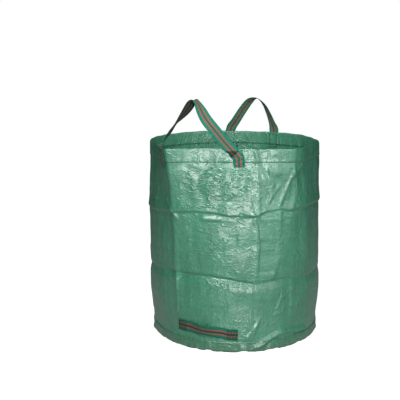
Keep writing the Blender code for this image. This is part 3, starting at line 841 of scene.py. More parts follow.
def webbing_material(name, edge, stripe, between, painted_light_share):
    """Woven webbing with two stripes, by its UV map: across in metres, then along."""
    n = Nodes(bpy.data.materials.new(name))
    flat = n.uv_place()
    across = n.add("ShaderNodeSeparateXYZ", {"Vector": flat}).outputs["X"]
    aside = n.math("ABSOLUTE", n.math("SUBTRACT", across, WEBBING_WIDTH / 2))
    colour = n.ramp(n.math("DIVIDE", aside, WEBBING_WIDTH / 2),
                    (0.0, between), (0.15, between), (0.19, stripe), (0.45, stripe),
                    (0.49, edge), (0.96, edge), (1.0, tinted(edge, 0.7)))
    weave = n.math("MULTIPLY", n.wave(flat, 160.0, "Y"), n.wave(flat, 220.0, "X"))
    wear = n.noise(flat, 120.0)
    shade = n.mix(n.math("MULTIPLY", weave, 0.30), colour, tinted(between, 0.5))
    shade = n.mix(n.math("MULTIPLY", wear, 0.18), shade, grey(0.02))
    # A share under 1 mixes the webbing toward near black: painted shade for copies that stand in
    # shade.
    if painted_light_share < 1.0:
        shade = n.mix(1.0 - painted_light_share, shade, (0.006, 0.008, 0.006, 1.0))
    n.give(n.shader, {
        "Base Color": shade,
        "Roughness": 0.78,
        "Specular IOR Level": 0.25,
        "Sheen Weight": 0.08,
        "Normal": n.bump(weave, strength=0.5, distance=0.0006),
    })
    return n.owner


def thread_material(name, colour):
    """Sewing thread, twisted of fine yarns."""
    n = Nodes(bpy.data.materials.new(name))
    twist = n.wave(n.space_place(), 260.0, "DIAGONAL", distortion=2.0)
    n.give(n.shader, {
        "Base Color": n.mix(twist, tinted(colour, 0.6), tinted(colour, 1.3)),
        "Roughness": 0.6,
        "Normal": n.bump(twist, strength=0.4, distance=0.0003),
    })
    return n.owner


def material(key):
    """One of the bag's materials, made once."""
    name = "bag_" + key
    if name in bpy.data.materials:
        return bpy.data.materials[name]
    look = bpy.context.scene.garden_bag
    cloth, edge, stripe = look.cloth_colour, look.webbing_colour, look.stripe_colour
    # A darkened edge colour, used only by the painted shade copies of the webbing.
    painted_shade_edge = tinted(edge, 0.26)
    make, *details = {
        "wall_cloth": (cloth_material, tinted(cloth, 1.0), 0.39, 1.0),
        "hem_cloth": (cloth_material, tinted(cloth, 0.97), 0.41, 1.0),
        # The inside's cloth is paler and brighter than the outside's: painted light for the light
        # that reaches the inside.
        "inner_cloth": (cloth_material, tinted(cloth, (1.95, 1.45, 1.54)), 0.46, 1.0),
        # The bottom sheet's cloth is darker and browner than the wall's: painted shade at the bag's
        # foot.
        "base_cloth": (cloth_material, tinted(cloth, (0.99, 0.80, 0.76)), 0.46, 0.9),
        "webbing_face": (webbing_material, tinted(edge, 1.0), tinted(stripe, 1.0),
                         tinted(edge, 0.62), 1.0),
        # Darker copies of the webbing, painted shade: a darker one for the tipping strap, a
        # near-black one for inner sides and the fold at the front loop's right foot.
        "webbing_low": (webbing_material, tinted(edge, 0.75), tinted(stripe, 0.88), painted_shade_edge, 0.85),
        "webbing_back": (webbing_material, tinted(edge, 0.24), tinted(stripe, 0.42),
                         tinted(painted_shade_edge, 0.4), 0.75),
        "cloth_thread": (thread_material, (0.045, 0.220, 0.130, 1.0)),
        "thread": (thread_material, tinted(look.thread_colour, 1.0)),
    }[key]
    return make(name, *details)


def finish_with(piece, keys, slot_name):
    """Give a piece its materials; the name of the record's slot that they come from is not used."""
    piece.data.materials.clear()
    for key in keys:
        piece.data.materials.append(material(key))


# Stitches

# A kind of stitching: the size that holds its stitches' length, the gap between them, the
# record's slot and the material
ROW = ("row_stitch", 0.0014, "green_thread", "cloth_thread")
BOX = ("box_stitch", 0.0008, "webbing_thread", "thread")
# How thick the threads lie, on the hem, on the other cloth, on the loops and on the strap
HEM_THREAD = 0.0009
CLOTH_THREAD = 0.0011
LOOP_THREAD = 0.0021
STRAP_THREAD = 0.0027
# Straight runs of a box's zigzag, and points along each run
ZIGZAGS = 7
RUN_POINTS = 9
# Columns right round the bag
ALL_ROUND = np.arange(0, 360.1, FIELD_STEP)


def one_stitch():
    """The points and faces of one stitch, 1 long and 1 thick, lying along X."""
    clear_selection()
    bpy.ops.mesh.primitive_uv_sphere_add(segments=6, ring_count=4, radius=0.5)
    seed = bpy.context.object
    edit_all(lambda: bpy.ops.transform.rotate(value=math.pi / 2, orient_axis="Y",
                                              center_override=(0, 0, 0)))
    points = points_of(seed)
    faces = [tuple(p.vertices) for p in seed.data.polygons]
    bpy.data.objects.remove(seed, do_unlink=True)
    return points, faces


def sew(name, runs, kind, thickness, node, body):
    """A row of stitches along runs of points, each run an array of places and of normals."""
    size, gap, slot_name, key = kind
    length = getattr(bpy.context.scene.garden_bag_sizes, size)
    points, faces = one_stitch()
    all_points, all_faces = [], []
    for line, outward in runs:
        travelled = travelled_along(line)
        count = max(1, int(travelled[-1] / (length + gap)))
        pitch = travelled[-1] / count
        for index in range(count):
            goals = [index * pitch + gap / 2, (index + 1) * pitch - gap / 2]
            start, end = picked_along(line, travelled, goals)
            out = picked_along(outward, travelled, (index + 0.5) * pitch)
            reach = np.linalg.norm(end - start)
            ahead = (end - start) / reach
            out = unit(out - ahead * out.dot(ahead))
            side = np.cross(out, ahead)
            base = len(all_points) * len(points)
            all_points.append((start + end) / 2 + points[:, :1] * ahead * reach
                              + points[:, 1:2] * side * thickness + points[:, 2:] * out * thickness)
            all_faces.extend(tuple(base + v for v in face) for face in faces)
    data = bpy.data.meshes.new(name)
    data.from_pydata(np.vstack(all_points).tolist(), [], all_faces)
    data.update()
    piece = bpy.data.objects.new(name, data)
    bpy.context.scene.collection.objects.link(piece)
    clear_selection()
    piece.select_set(True)
    bpy.context.view_layer.objects.active = piece
    bpy.ops.object.shade_smooth()
    finish_with(piece, [key], slot_name)
    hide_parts(node)
    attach(piece, body)
    return piece


def cloth_run(columns, z, off):
    """A line on the wall for stitches, with its directions away from the cloth."""
    columns, z = np.broadcast_arrays(np.asarray(columns, float), np.asarray(z, float))
    return cloth_point(columns, z, off), level(plan_normal(columns, z)) * math.copysign(1.0, off)


def box_stitch(middle, half, off, lying=False):
    """A box of stitches with a zigzag in it, round a place on the wall."""
    (column, z), (wide, tall) = middle, half
    corners = [(-1, -1), (1, -1), (1, 1), (-1, 1), (-1, -1)]
    turns = [(-1 if index % 2 == 0 else 1, 2 * index / ZIGZAGS - 1)
             for index in range(ZIGZAGS + 1)]
    if lying:
        turns = [(b, a) for a, b in turns]
    share = np.linspace(0, 1, RUN_POINTS)
    runs = []
    for line in (corners, turns):
        places = [(column + a * wide, z + b * tall) for a, b in line]
        for (c0, z0), (c1, z1) in zip(places, places[1:]):
            runs.append(cloth_run(c0 + (c1 - c0) * share, z0 + (z1 - z0) * share, off))
    return runs


# Pieces

# How far the middles of the hem, the loops' feet and the tipping strap lie outside the
# middle of the wall
HEM_OFF = 0.0012
FOOT_OFF = 0.0034
TIPPING_OFF = 0.0018

WALL_TOP_Z = 0.716
WALL_FOOT_Z = 0.0069
WALL_RISE = WALL_TOP_Z - WALL_FOOT_Z
# Rows lie closer together at the storage folds' heights, and near these shares of the round
FOLD_HEIGHTS = (0.523, 0.277)
FINE_SHARES = (0.0, 0.07, 0.14, 0.93, 1.0)
# The wall's faces round the bag and up it
WALL_GRID = (360, 127)

HEM_TOP_Z = 0.7590
HEM_LOW_Z = 0.7080
HEM_DOWN = HEM_TOP_Z - HEM_LOW_Z
HEM_TURN = 0.004
HEM_WIDTH = 2 * HEM_DOWN + HEM_TURN
HEM_GRID = (720, 24)
HEM_TURN_LIFT = HEM_OFF * 0.8
# The ripple of the hem's edges and how far up it reaches, and the waves of its top, by
# height, number round the bag and start, from one height to the other
HEM_RIPPLE = 0.0004
HEM_RIPPLE_REACH = 0.007
HEM_WAVES = ((0.0009, 5, 1.0), (0.0007, 23, 0.5))
HEM_WAVES_Z = (0.72, HEM_TOP_Z)
HEM_STITCH_OFF = 0.0019

# The base sheet's way runs down its skirt, round the bend and to the middle
BASE_Z = 0.0005
BASE_EDGE = RADIUS + 0.0016
SKIRT_HEIGHT = 0.0415
SKIRT_BEND = 0.006
SKIRT_STRAIGHT = SKIRT_HEIGHT - SKIRT_BEND
BEND_WAY = SKIRT_BEND * math.pi / 2
BASE_FLAT = BASE_EDGE - SKIRT_BEND
BASE_WAY = SKIRT_STRAIGHT + BEND_WAY + BASE_FLAT
BASE_GRID = (480, 27)
# The rows of the base's grid at which its parts end, and how far each one is on the way
BASE_STOPS = ((0, 0), (10, SKIRT_STRAIGHT), (16, SKIRT_STRAIGHT + BEND_WAY),
              (22, SKIRT_STRAIGHT + BEND_WAY + 0.10), (27, BASE_WAY))
# Ruffles push the sheet out round the bend and lift it from the floor further in
RUFFLE = 0.0030
RUFFLE_REACH = 0.022
RUFFLE_LIFT = 0.0028
RUFFLE_LIFT_REACH = 0.030
# Tucks run down the skirt at a slant, in degrees for each metre
TUCK = 0.0040
TUCK_WIDTH = 1.6
TUCK_SLANT = 60
TUCK_MIDDLE = 0.030
TUCK_ZONE = (0.004, 0.034)
TUCK_COLUMNS = (-8.3, 1.5, 28.0, 46.0, 66.0, 95.0, 131.0, 170.0, 205.0, 246.0, 290.0, 322.0)
# The skirt's top edge stands off by a little and by its puckers, and never cuts the wall
EDGE_OFF = 0.0006
EDGE_PUCKER = 0.00025
EDGE_REACH = 0.008
OUTSIDE_WALL = 0.0012
BASE_STITCH_Z = 0.035
BASE_STITCH_OFF = 0.0034
BASE_STITCH_PUCKER = 0.0004

SEAM_LOW_Z = 0.012
SEAM_HIGH_Z = 0.704
SEAM_WIDTH = 0.014
SEAM_GRID = (6, 150)
# Heights of the points that the seam's row of stitches runs through
SEAM_ROW_Z = np.arange(0.014, 0.703, 0.003)
SEAM_INSIDE = 0.0013
SEAM_STITCH_OFF = -0.0025

# Faces across the webbing, and steps between two stations of a loop
WEBBING_ACROSS = 12
LOOP_STEPS = 6
LEFT_FOOT_Z = (0.692, 0.711, 0.730, 0.750)
RIGHT_FOOT_Z = (0.728, 0.716, 0.704, 0.692)
FOOT_ROWS = LOOP_STEPS * (len(LEFT_FOOT_Z) - 1)
SEWN_BELOW_Z = 0.757
FOOT_BOX_Z = 0.7257
WEBBING_CURL = 0.0006
# Stitches lie this far outside the middle of a foot or of the strap, and inside the wall
FOOT_STITCH_RISE = 0.0008
FOOT_STITCH_INSIDE = -0.0026
STRAP_STITCH_RISE = 0.0009
# Half the width and half the height of a box of stitches
FOOT_BOX = (in_degrees(0.0165), 0.0282)
STRAP_BOX = (in_degrees(0.0170), 0.0165)

STRAP_LENGTH = 0.240
STRAP_STEPS = 84
STRAP_REACH = in_degrees(STRAP_LENGTH / 2)
STRAP_END_LENGTH = 0.043
STRAP_FREE_REACH = STRAP_REACH - in_degrees(STRAP_END_LENGTH)
STRAP_Z = ((-20.5, 0.087), (-10, 0.087), (0, 0.084), (10, 0.077), (14, 0.071), (20.5, 0.069))
STRAP_BULGE = 0.0155
STRAP_LEAN = 0.40
# How many degrees from its ends the strap still lies on the cloth, and where it stands free
STRAP_SEWN_DEGREES = (5.5, 9.0)


def dense(shares, places, spread, extra):
    """Shares from 0 to 1 drawn closer together round the given places."""
    even = np.linspace(0, 1, 2001)
    weight = 1 + sum(extra * np.exp(-((even - place) / spread)**2) for place in places)
    travelled = np.concatenate([[0], np.cumsum((weight[1:] + weight[:-1]) / 2)])
    return np.interp(shares, travelled / travelled[-1], even)


def make_wall():
    """The woven sheet round the bag."""
    folds = [(height - WALL_FOOT_Z) / WALL_RISE for height in FOLD_HEIGHTS]
    piece = flat_sheet("bag_wall", *WALL_GRID, (AROUND, WALL_RISE),
                       (lambda u: dense(u, FINE_SHARES, spread=0.06, extra=0.8),
                        lambda v: dense(v, folds, spread=0.024, extra=1.6)))
    shape(piece, lambda u, v: cloth_point(u * 360, WALL_FOOT_Z + v * WALL_RISE))
    weld()
    finish_with(piece, ["wall_cloth", "inner_cloth"], "wall_cloth")
    thicken(piece, bpy.context.scene.garden_bag_sizes.wall_cloth, 1)
    note_crumples(piece)
    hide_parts("wall_panel")
    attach(piece, "base")
    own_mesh(piece)


def hem_point(u, v):
    """The doubled band's points, from its outer edge over the mouth to its inner edge."""
    angle = np.radians(u * 360)
    way = v * HEM_WIDTH
    outer, inner = way < HEM_DOWN, way > HEM_DOWN + HEM_TURN
    z = np.where(outer, HEM_LOW_Z + way,
                 np.where(inner, HEM_TOP_Z - (way - HEM_DOWN - HEM_TURN), HEM_TOP_Z))
    turn = np.clip((way - HEM_DOWN) / HEM_TURN, 0, 1) * math.pi
    side = np.where(outer, 1.0, np.where(inner, -1.0, 0.0))
    ripple = 0.5 * np.sin(angle * 97 + 3 * np.sin(angle * 11)) - 0.5
    edge = np.exp(-np.abs(z - HEM_LOW_Z) / HEM_RIPPLE_REACH)
    points = cloth_point(u * 360, z, HEM_OFF * np.cos(turn) + side * HEM_RIPPLE * ripple * edge)
    wave = sum(height * np.sin(angle * count + start) for height, count, start in HEM_WAVES)
    points[:, 2] += HEM_TURN_LIFT * np.sin(turn) + wave * smooth(z, *HEM_WAVES_Z)
    return points


def make_hem():
    """The doubled band folded over the mouth."""
    piece = flat_sheet("bag_hem", *HEM_GRID, (AROUND, HEM_WIDTH))
    shape(piece, hem_point)
    finish_with(piece, ["hem_cloth", "inner_cloth"], "hem_cloth")
    inside = np.arange(len(piece.data.polygons)) >= HEM_GRID[0] * HEM_GRID[1] // 2
    piece.data.polygons.foreach_set("material_index", inside.astype(np.int32))
    weld()
    thicken(piece, bpy.context.scene.garden_bag_sizes.hem_cloth)
    note_crumples(piece)
    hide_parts("top_hem")
    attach(piece, "rim")
    runs = [cloth_run(ALL_ROUND, HEM_STITCH_Z, off) for off in (HEM_STITCH_OFF, -HEM_STITCH_OFF)]
    sew("bag_hem_stitches", runs, ROW, HEM_THREAD, "hem_stitch", "rim")


def base_point(u, v):
    """The bottom sheet's points, from the top edge of its skirt to its middle."""
    column = u * 360
    angle = np.radians(column)
    rows, ways = np.array(BASE_STOPS).T
    way = np.interp(v, rows / BASE_GRID[1], ways)
    turn = np.clip((way - SKIRT_STRAIGHT) / BEND_WAY, 0, 1) * math.pi / 2
    past_bend = way - SKIRT_STRAIGHT - BEND_WAY
    below = turn >= math.pi / 2
    out = np.where(below, BASE_FLAT - past_bend, BASE_FLAT + SKIRT_BEND * np.cos(turn))
    z = np.where(way < SKIRT_STRAIGHT, SKIRT_HEIGHT - way,
                 BASE_Z + SKIRT_BEND - SKIRT_BEND * np.sin(turn))
    z = np.where(below, BASE_Z, z)
    ruffle = (np.sin(angle * 17 + 1.0) + np.sin(angle * 29 + 2.2 * np.sin(angle * 5))
              + 0.7 * np.sin(angle * 47 + 0.4))
    at_bend = np.exp(-((way - SKIRT_STRAIGHT) / RUFFLE_REACH)**2)
    out = out + RUFFLE * np.clip(ruffle, -1.5, 1.9) * at_bend
    for place in TUCK_COLUMNS:
        aside = wrapped(column - place - TUCK_SLANT * (way - TUCK_MIDDLE)) / TUCK_WIDTH
        out = out - TUCK * np.exp(-aside**2) * smooth(way, *TUCK_ZONE)
    out = out + np.exp(-way / EDGE_REACH) * (EDGE_OFF + EDGE_PUCKER * pucker(angle))
    lifted = np.exp(-(past_bend / RUFFLE_LIFT_REACH)**2)
    z = z + RUFFLE_LIFT * np.clip(ruffle + 0.6, 0, 3) * lifted
    wall = RADIUS + standing_out(column, z) + OUTSIDE_WALL
    out = np.where(turn < 0.2, np.maximum(out, wall), out)
    out = np.maximum(out, 0.0) * (1 + around_table(BASE_PUSH, column) / RADIUS)
    return round_point(out, column, z)


def keep_above_floor(piece):
    """Lift any point that the thickness pushed below the floor."""
    points = points_of(piece)
    points[:, 2] = np.maximum(points[:, 2], 0.0)
    place_points(piece, points)


def make_base():
    """The round bottom sheet, turned up outside the wall."""
    piece = flat_sheet("bag_base", *BASE_GRID, (AROUND, BASE_WAY))
    shape(piece, base_point)
    edit_all(bpy.ops.mesh.flip_normals)
    weld()
    thicken(piece, bpy.context.scene.garden_bag_sizes.base_cloth)
    keep_above_floor(piece)
    note_crumples(piece)
    finish_with(piece, ["base_cloth"], "base_cloth")
    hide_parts("base_panel")
    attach(piece, "base")
    reach = RADIUS + around_table(BASE_PUSH, ALL_ROUND) + BASE_STITCH_OFF
    reach = reach + BASE_STITCH_PUCKER * pucker(np.radians(ALL_ROUND))
    run = (round_point(reach, ALL_ROUND, BASE_STITCH_Z), round_point(1.0, ALL_ROUND, 0.0))
    sew("bag_base_stitches", [run], ROW, CLOTH_THREAD, "base_stitch", "base")


def side_seam_point(u, v):
    """The folded ends' points, a little rolled, inside the wall."""
    column = SEAM_COLUMN + in_degrees((0.5 - u) * SEAM_WIDTH)
    roll = 0.0004 * np.sin(v * 90) + 0.0006 * np.abs(u - 0.5)
    return cloth_point(column, SEAM_LOW_Z + v * (SEAM_HIGH_Z - SEAM_LOW_Z), -(SEAM_INSIDE + roll))


def make_side_seam():
    """The sheet's two ends, folded together inside the back."""
    size = (SEAM_WIDTH, SEAM_HIGH_Z - SEAM_LOW_Z)
    piece = flat_sheet("bag_side_seam", *SEAM_GRID, size)
    shape(piece, side_seam_point)
    thicken(piece, bpy.context.scene.garden_bag_sizes.hem_cloth)
    note_crumples(piece)
    finish_with(piece, ["hem_cloth"], "hem_cloth")
    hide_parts("side_seam")
    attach(piece, "base")
    runs = [cloth_run(SEAM_COLUMN, SEAM_ROW_Z, SEAM_STITCH_OFF)]
    stitches = sew("bag_side_seam_stitches", runs, ROW, CLOTH_THREAD, "side_seam_stitch", "base")
    for pressed in (piece, stitches):
        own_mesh(pressed)


# Stations along a loop: along the feet, height and outward lean as shares of the spacing
# and height, then the direction of the webbing's width along the feet, outward and up
FRONT_LOOP_SHARES = (
    (0.000, 0.010, 0.004, (0.45, 0.88, 0.08)),
    (0.040, 0.105, 0.022, (0.12, 0.98, 0.10)),
    (0.120, 0.300, 0.045, (-0.14, 0.97, 0.12)),
    (0.200, 0.490, 0.050, (-0.06, 0.98, 0.08)),
    (0.265, 0.620, 0.045, (-0.28, 0.93, 0.20)),
    (0.330, 0.755, 0.035, (-0.46, 0.80, 0.38)),
    (0.390, 0.900, 0.015, (-0.44, 0.68, 0.56)),
    (0.422, 0.975, 0.000, (-0.15, 0.90, 0.30)),
    (0.442, 0.995, 0.000, (0.00, 0.97, -0.15)),
    (0.472, 0.955, 0.010, (-0.18, 0.92, -0.32)),
    (0.528, 0.780, 0.030, (-0.50, 0.62, -0.58)),
    (0.596, 0.584, 0.045, (-0.72, 0.30, -0.62)),
    (0.696, 0.382, 0.050, (-0.80, 0.08, -0.60)),
    (0.785, 0.200, 0.040, (-0.80, 0.02, -0.60)),
    (0.860, 0.050, 0.022, (-0.82, 0.02, -0.57)),
    (0.930, -0.070, 0.014, (-0.92, 0.00, -0.38)),
)
BACK_LOOP_SHARES = (
    (0.000, 0.05, 0.00, (0.97, 0.22, -0.10)),
    (0.045, 0.24, 0.01, (0.80, 0.60, 0.00)),
    (0.115, 0.48, 0.03, (0.68, 0.73, 0.00)),
    (0.215, 0.76, 0.03, (0.56, 0.82, 0.00)),
    (0.335, 0.95, 0.02, (0.36, 0.92, -0.05)),
    (0.430, 1.00, 0.00, (0.04, 0.97, -0.20)),
    (0.560, 0.90, -0.01, (-0.38, 0.80, -0.42)),
    (0.715, 0.62, 0.00, (-0.56, 0.68, -0.45)),
    (0.872, 0.28, 0.00, (-0.68, 0.62, -0.38)),
    (0.974, 0.06, 0.00, (-0.88, 0.40, -0.22)),
)


def foot_rows(column, heights):
    """Centres and width directions of a loop's sewn foot, from the first height to the last."""
    columns, z = np.full(len(heights), float(column)), np.array(heights, float)
    return smooth_point(columns, z, FOOT_OFF), level(way_round(columns, z))


def loop_path(columns, height, stations):
    """Middles of a loop's webbing, directions of its width and of its face, row by row."""
    left, right = smooth_point(np.array(columns), HINGE_Z, FOOT_OFF)
    span = np.linalg.norm(right - left)
    along = (right - left) / span
    outward = np.array([along[1], -along[0], 0.0])
    up = np.array([0.0, 0.0, 1.0])
    places = [left + along * a * span + up * b * height + outward * c * height
              for a, b, c, _ in stations]
    turns = [along * w[0] + outward * w[1] + up * w[2] for _, _, _, w in stations]
    left_feet, left_widths = foot_rows(columns[0], LEFT_FOOT_Z)
    right_feet, right_widths = foot_rows(columns[1], RIGHT_FOOT_Z)
    left_widths *= math.copysign(1.0, np.dot(turns[0], left_widths[-1]))
    right_widths *= math.copysign(1.0, np.dot(turns[-1], right_widths[0]))
    middle = curve_through(np.vstack([left_feet, places, right_feet]), LOOP_STEPS, False, 0.5)
    widths = np.vstack([left_widths, turns, right_widths])
    turning = curve_through(widths, LOOP_STEPS, False, 0.5)
    ahead = unit(np.gradient(middle, axis=0))
    turning = unit(turning - ahead * np.sum(turning * ahead, 1, keepdims=True))
    return middle, turning, np.cross(turning, ahead)


def loop_point(path, columns, u, v):
    """A loop's points; its sewn rows lie on the cloth."""
    middle, turning, facing = path
    steps = len(middle) - 1
    row = np.rint(v * steps).astype(int)
    side = (u - 0.5) * WEBBING_WIDTH
    feet = (row < FOOT_ROWS, row > steps - FOOT_ROWS)
    curl = np.where(feet[0] | feet[1], 0.0, WEBBING_CURL * np.sin(u * math.pi))
    points = middle[row] + turning[row] * side[:, None] + facing[row] * curl[:, None]
    for foot, column in zip(feet, columns):
        sewn = foot & (points[:, 2] < SEWN_BELOW_Z)
        z = points[sewn, 2]
        ahead = level(way_round(np.full(len(z), column), z))
        way = np.sign(np.sum(turning[row[sewn]] * ahead, 1))
        points[sewn] = cloth_point(column + in_degrees(side[sewn]) * way, z, FOOT_OFF)
    return points


def paint_fold_shadow(piece, middle, painted_fold_shadow):
    """Paint the fold at the right foot near-black on the webbing's outer faces: painted shadow."""
    high, low, reach = painted_fold_shadow
    flat = uv_of(piece)
    length = flat[:, 1].max()
    for face in piece.data.polygons:
        place = flat[list(face.loop_indices)].mean(0)
        share = place[1] / length
        shadow_share = (high - middle[round(share * (len(middle) - 1)), 2]) / (high - low)
        if share > 0.5 and 0 < shadow_share < 1 and 1 - place[0] / WEBBING_WIDTH < reach * shadow_share:
            face.material_index = 1


def make_loop(name, azimuth, spacing, height, stations, nodes, sides, painted_fold_shadow=None):
    """A carrying loop with its two sewn feet, one length of webbing.

    Its painted fold shadow is a near-black triangle painted where the webbing folds at its
    right foot: highest and lowest point, and the share of the webbing's width that it reaches.
    """
    half = in_degrees(spacing / 2)
    columns = (azimuth - half, azimuth + half)
    path = loop_path(columns, height, stations)
    middle = path[0]
    size = (WEBBING_WIDTH, travelled_along(middle)[-1])
    piece = flat_sheet(name, WEBBING_ACROSS, len(middle) - 1, size)
    shape(piece, lambda u, v: loop_point(path, columns, u, v))
    finish_with(piece, sides, "webbing")
    thicken(piece, bpy.context.scene.garden_bag_sizes.webbing, 1, even=False)
    if painted_fold_shadow:
        paint_fold_shadow(piece, middle, painted_fold_shadow)
    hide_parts(*nodes)
    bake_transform(piece)
    for side, column in zip(("left", "right"), columns):
        runs = box_stitch((column, FOOT_BOX_Z), FOOT_BOX, FOOT_OFF + FOOT_STITCH_RISE)
        runs += box_stitch((column, FOOT_BOX_Z), FOOT_BOX, FOOT_STITCH_INSIDE)[:4]
        sew(f"{name}_{side}_stitches", runs, BOX, LOOP_THREAD,
            f"{name.replace('bag_', '')}_{side}_end_stitch", "rim")


def strap_z(column):
    """The height of the tipping strap's middle at columns."""
    return np.interp(column, *np.array(STRAP_Z).T)


def strap_point(u, v):
    """The tipping strap's points: its ends lie on the cloth, its middle stands off."""
    column = -STRAP_REACH + 2 * STRAP_REACH * v
    free = np.clip((column + STRAP_FREE_REACH) / (2 * STRAP_FREE_REACH), 0, 1)
    rise = np.sin(math.pi * free)**2
    lean = STRAP_LEAN * rise
    aside = (0.5 - u) * WEBBING_WIDTH
    z = strap_z(column) + aside * np.cos(lean)
    off = TIPPING_OFF + STRAP_BULGE * rise + aside * np.sin(lean)
    from_end = np.minimum(column + STRAP_REACH, STRAP_REACH - column)
    sewn = 1 - smooth(from_end, *STRAP_SEWN_DEGREES)[:, None]
    return cloth_point(column, z, off) * sewn + smooth_point(column, z, off) * (1 - sewn)


def make_tipping_strap():
    """The strap low on the front, pulled to tip the bag out."""
    size = (WEBBING_WIDTH, STRAP_LENGTH)
    piece = flat_sheet("bag_tipping_strap", WEBBING_ACROSS, STRAP_STEPS, size)
    shape(piece, strap_point)
    # Both sides of the strap take darker painted shade copies of the webbing.
    finish_with(piece, ["webbing_low", "webbing_back"], "webbing")
    thicken(piece, bpy.context.scene.garden_bag_sizes.webbing, 1)
    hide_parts("tipping_strap", "tipping_strap_left_end", "tipping_strap_right_end")
    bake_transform(piece)
    for side, sign in (("left", -1), ("right", 1)):
        column = sign * (STRAP_REACH + STRAP_FREE_REACH) / 2
        runs = box_stitch((column, strap_z(column)), STRAP_BOX, TIPPING_OFF + STRAP_STITCH_RISE,
                          lying=True)
        sew(f"bag_tipping_strap_{side}_stitches", runs, BOX, STRAP_THREAD,
            f"tipping_strap_{side}_end_stitch", "base")


# The stage

# Each light's name, place, width and height, power in watts and the place it points at
LIGHTS = (
    ("key_light", (1.42, -4.33, 1.02), (1.25, 1.15), 57.0, (0.0, -0.3, 0.60)),
    ("side_light", (3.30, -2.20, 1.30), (3.0, 2.4), 45.0, (0.1, -0.1, 0.45)),
    ("top_light", (0.40, -2.60, 3.10), (1.5, 1.4), 98.0, (0, 0.15, 0.66)),
)
# The light from all round, as the bag gets it: its strength and its green tint
AROUND_STRENGTH = 0.08
AROUND_TINT = (0.35, 1.0, 0.70, 1.0)
FLOOR_GLOW = 0.985
# The camera stands at this column of the bag and looks down and a little past its middle
CAMERA_COLUMN = 18.0
CAMERA_DISTANCE = 3.8
CAMERA_Z = 1.1829
CAMERA_DOWN = 9.92
CAMERA_TURN = 2.082
CAMERA_LENS = 87.05


def add_to_scene(name, data, location, turned):
    """A light or a camera at its place, turned by angles in radians."""
    holder = bpy.data.objects.new(name, data)
    bpy.context.scene.collection.objects.link(holder)
    holder.location = location
    holder.rotation_euler = turned
    return holder


def make_floor():
    """A floor that the camera sees as white."""
    clear_selection()
    bpy.ops.mesh.primitive_plane_add(size=40.0, location=(0, 0, -0.0005))
    floor = bpy.context.object
    floor.name = "stage_floor"
    bpy.ops.object.transform_apply(location=True, rotation=True, scale=True)
    n = Nodes(bpy.data.materials.new("stage_white"))
    seen = n.add("ShaderNodeLightPath").outputs["Is Camera Ray"]
    n.give(n.shader, {
        "Base Color": grey(0.45),
        "Roughness": 0.9,
        "Emission Color": grey(1.0),
        "Emission Strength": n.math("MULTIPLY", seen, FLOOR_GLOW),
    })
    floor.data.materials.append(n.owner)


def make_stage():
    """The floor, the light and the camera."""
    make_floor()
    scene = bpy.context.scene
    scene.world = bpy.data.worlds.new("studio")
    n = Nodes(scene.world, "Background")
    seen = n.add("ShaderNodeLightPath").outputs["Is Camera Ray"]
    strength = n.add("ShaderNodeMapRange", {"Value": seen, "To Min": AROUND_STRENGTH,
                                            "To Max": 1.0}).outputs[0]
    n.give(n.shader, {"Color": n.mix(seen, AROUND_TINT, grey(1.0)), "Strength": strength})

    for name, place, size, power, aim in LIGHTS:
        lamp = bpy.data.lights.new(name, "AREA")
        lamp.shape = "RECTANGLE"
        lamp.size, lamp.size_y = size
        lamp.energy = power
        x, y, z = (a - b for a, b in zip(aim, place))
        add_to_scene(name, lamp, place,
                     (math.atan2(math.hypot(x, y), -z), 0, math.atan2(-x, y)))

    lens = bpy.data.cameras.new("camera")
    lens.lens = CAMERA_LENS
    lens.sensor_width = 36.0
    lens.clip_end = 60.0
    scene.camera = add_to_scene(
        "camera", lens, round_point(CAMERA_DISTANCE, CAMERA_COLUMN, CAMERA_Z),
        (math.radians(90 - CAMERA_DOWN), 0, math.radians(CAMERA_COLUMN + CAMERA_TURN)))
    scene.view_settings.view_transform = "Standard"


# The add-on


class GardenBagLook(PropertyGroup):
    """Colours that a user may change."""

    cloth_colour: FloatVectorProperty(
        name="Cloth", description="Colour of the woven cloth", subtype="COLOR",
        default=(0.040, 0.216, 0.126), min=0.0, max=1.0)
    webbing_colour: FloatVectorProperty(
        name="Webbing", description="Colour of the webbing's edges", subtype="COLOR",
        default=(0.012, 0.230, 0.150), min=0.0, max=1.0)
    stripe_colour: FloatVectorProperty(
        name="Stripes", description="Colour of the webbing's two stripes", subtype="COLOR",
        default=(0.340, 0.132, 0.098), min=0.0, max=1.0)
    thread_colour: FloatVectorProperty(
        name="Thread", description="Colour of the sewing thread", subtype="COLOR",
        default=(0.008, 0.036, 0.024), min=0.0, max=1.0)


class GardenBagSizes(PropertyGroup):
    """Sizes that a user may change."""

    wall_cloth: FloatProperty(
        name="Wall cloth", description="Thickness of the wall's cloth", default=0.0007,
        min=0.0002, max=0.0010, precision=5, subtype="DISTANCE", unit="LENGTH")
    hem_cloth: FloatProperty(
        name="Hem cloth", description="Thickness of the hem's and the side seam's cloth",
        default=0.0006, min=0.0002, max=0.0010, precision=5, subtype="DISTANCE", unit="LENGTH")
    base_cloth: FloatProperty(
        name="Base cloth", description="Thickness of the bottom sheet's cloth", default=0.0009,
        min=0.0002, max=0.0012, precision=5, subtype="DISTANCE", unit="LENGTH")
    webbing: FloatProperty(
        name="Webbing", description="Thickness of the loops' and the strap's webbing",
        default=0.0012, min=0.0006, max=0.0018, precision=5, subtype="DISTANCE", unit="LENGTH")
    row_stitch: FloatProperty(
        name="Row stitch", description="Length of one stitch in the rows of the cloth",
        default=0.0042, min=0.0020, max=0.0100, precision=5, subtype="DISTANCE", unit="LENGTH")
    box_stitch: FloatProperty(
        name="Box stitch", description="Length of one stitch in the boxes of the webbing",
        default=0.0040, min=0.0020, max=0.0100, precision=5, subtype="DISTANCE", unit="LENGTH")


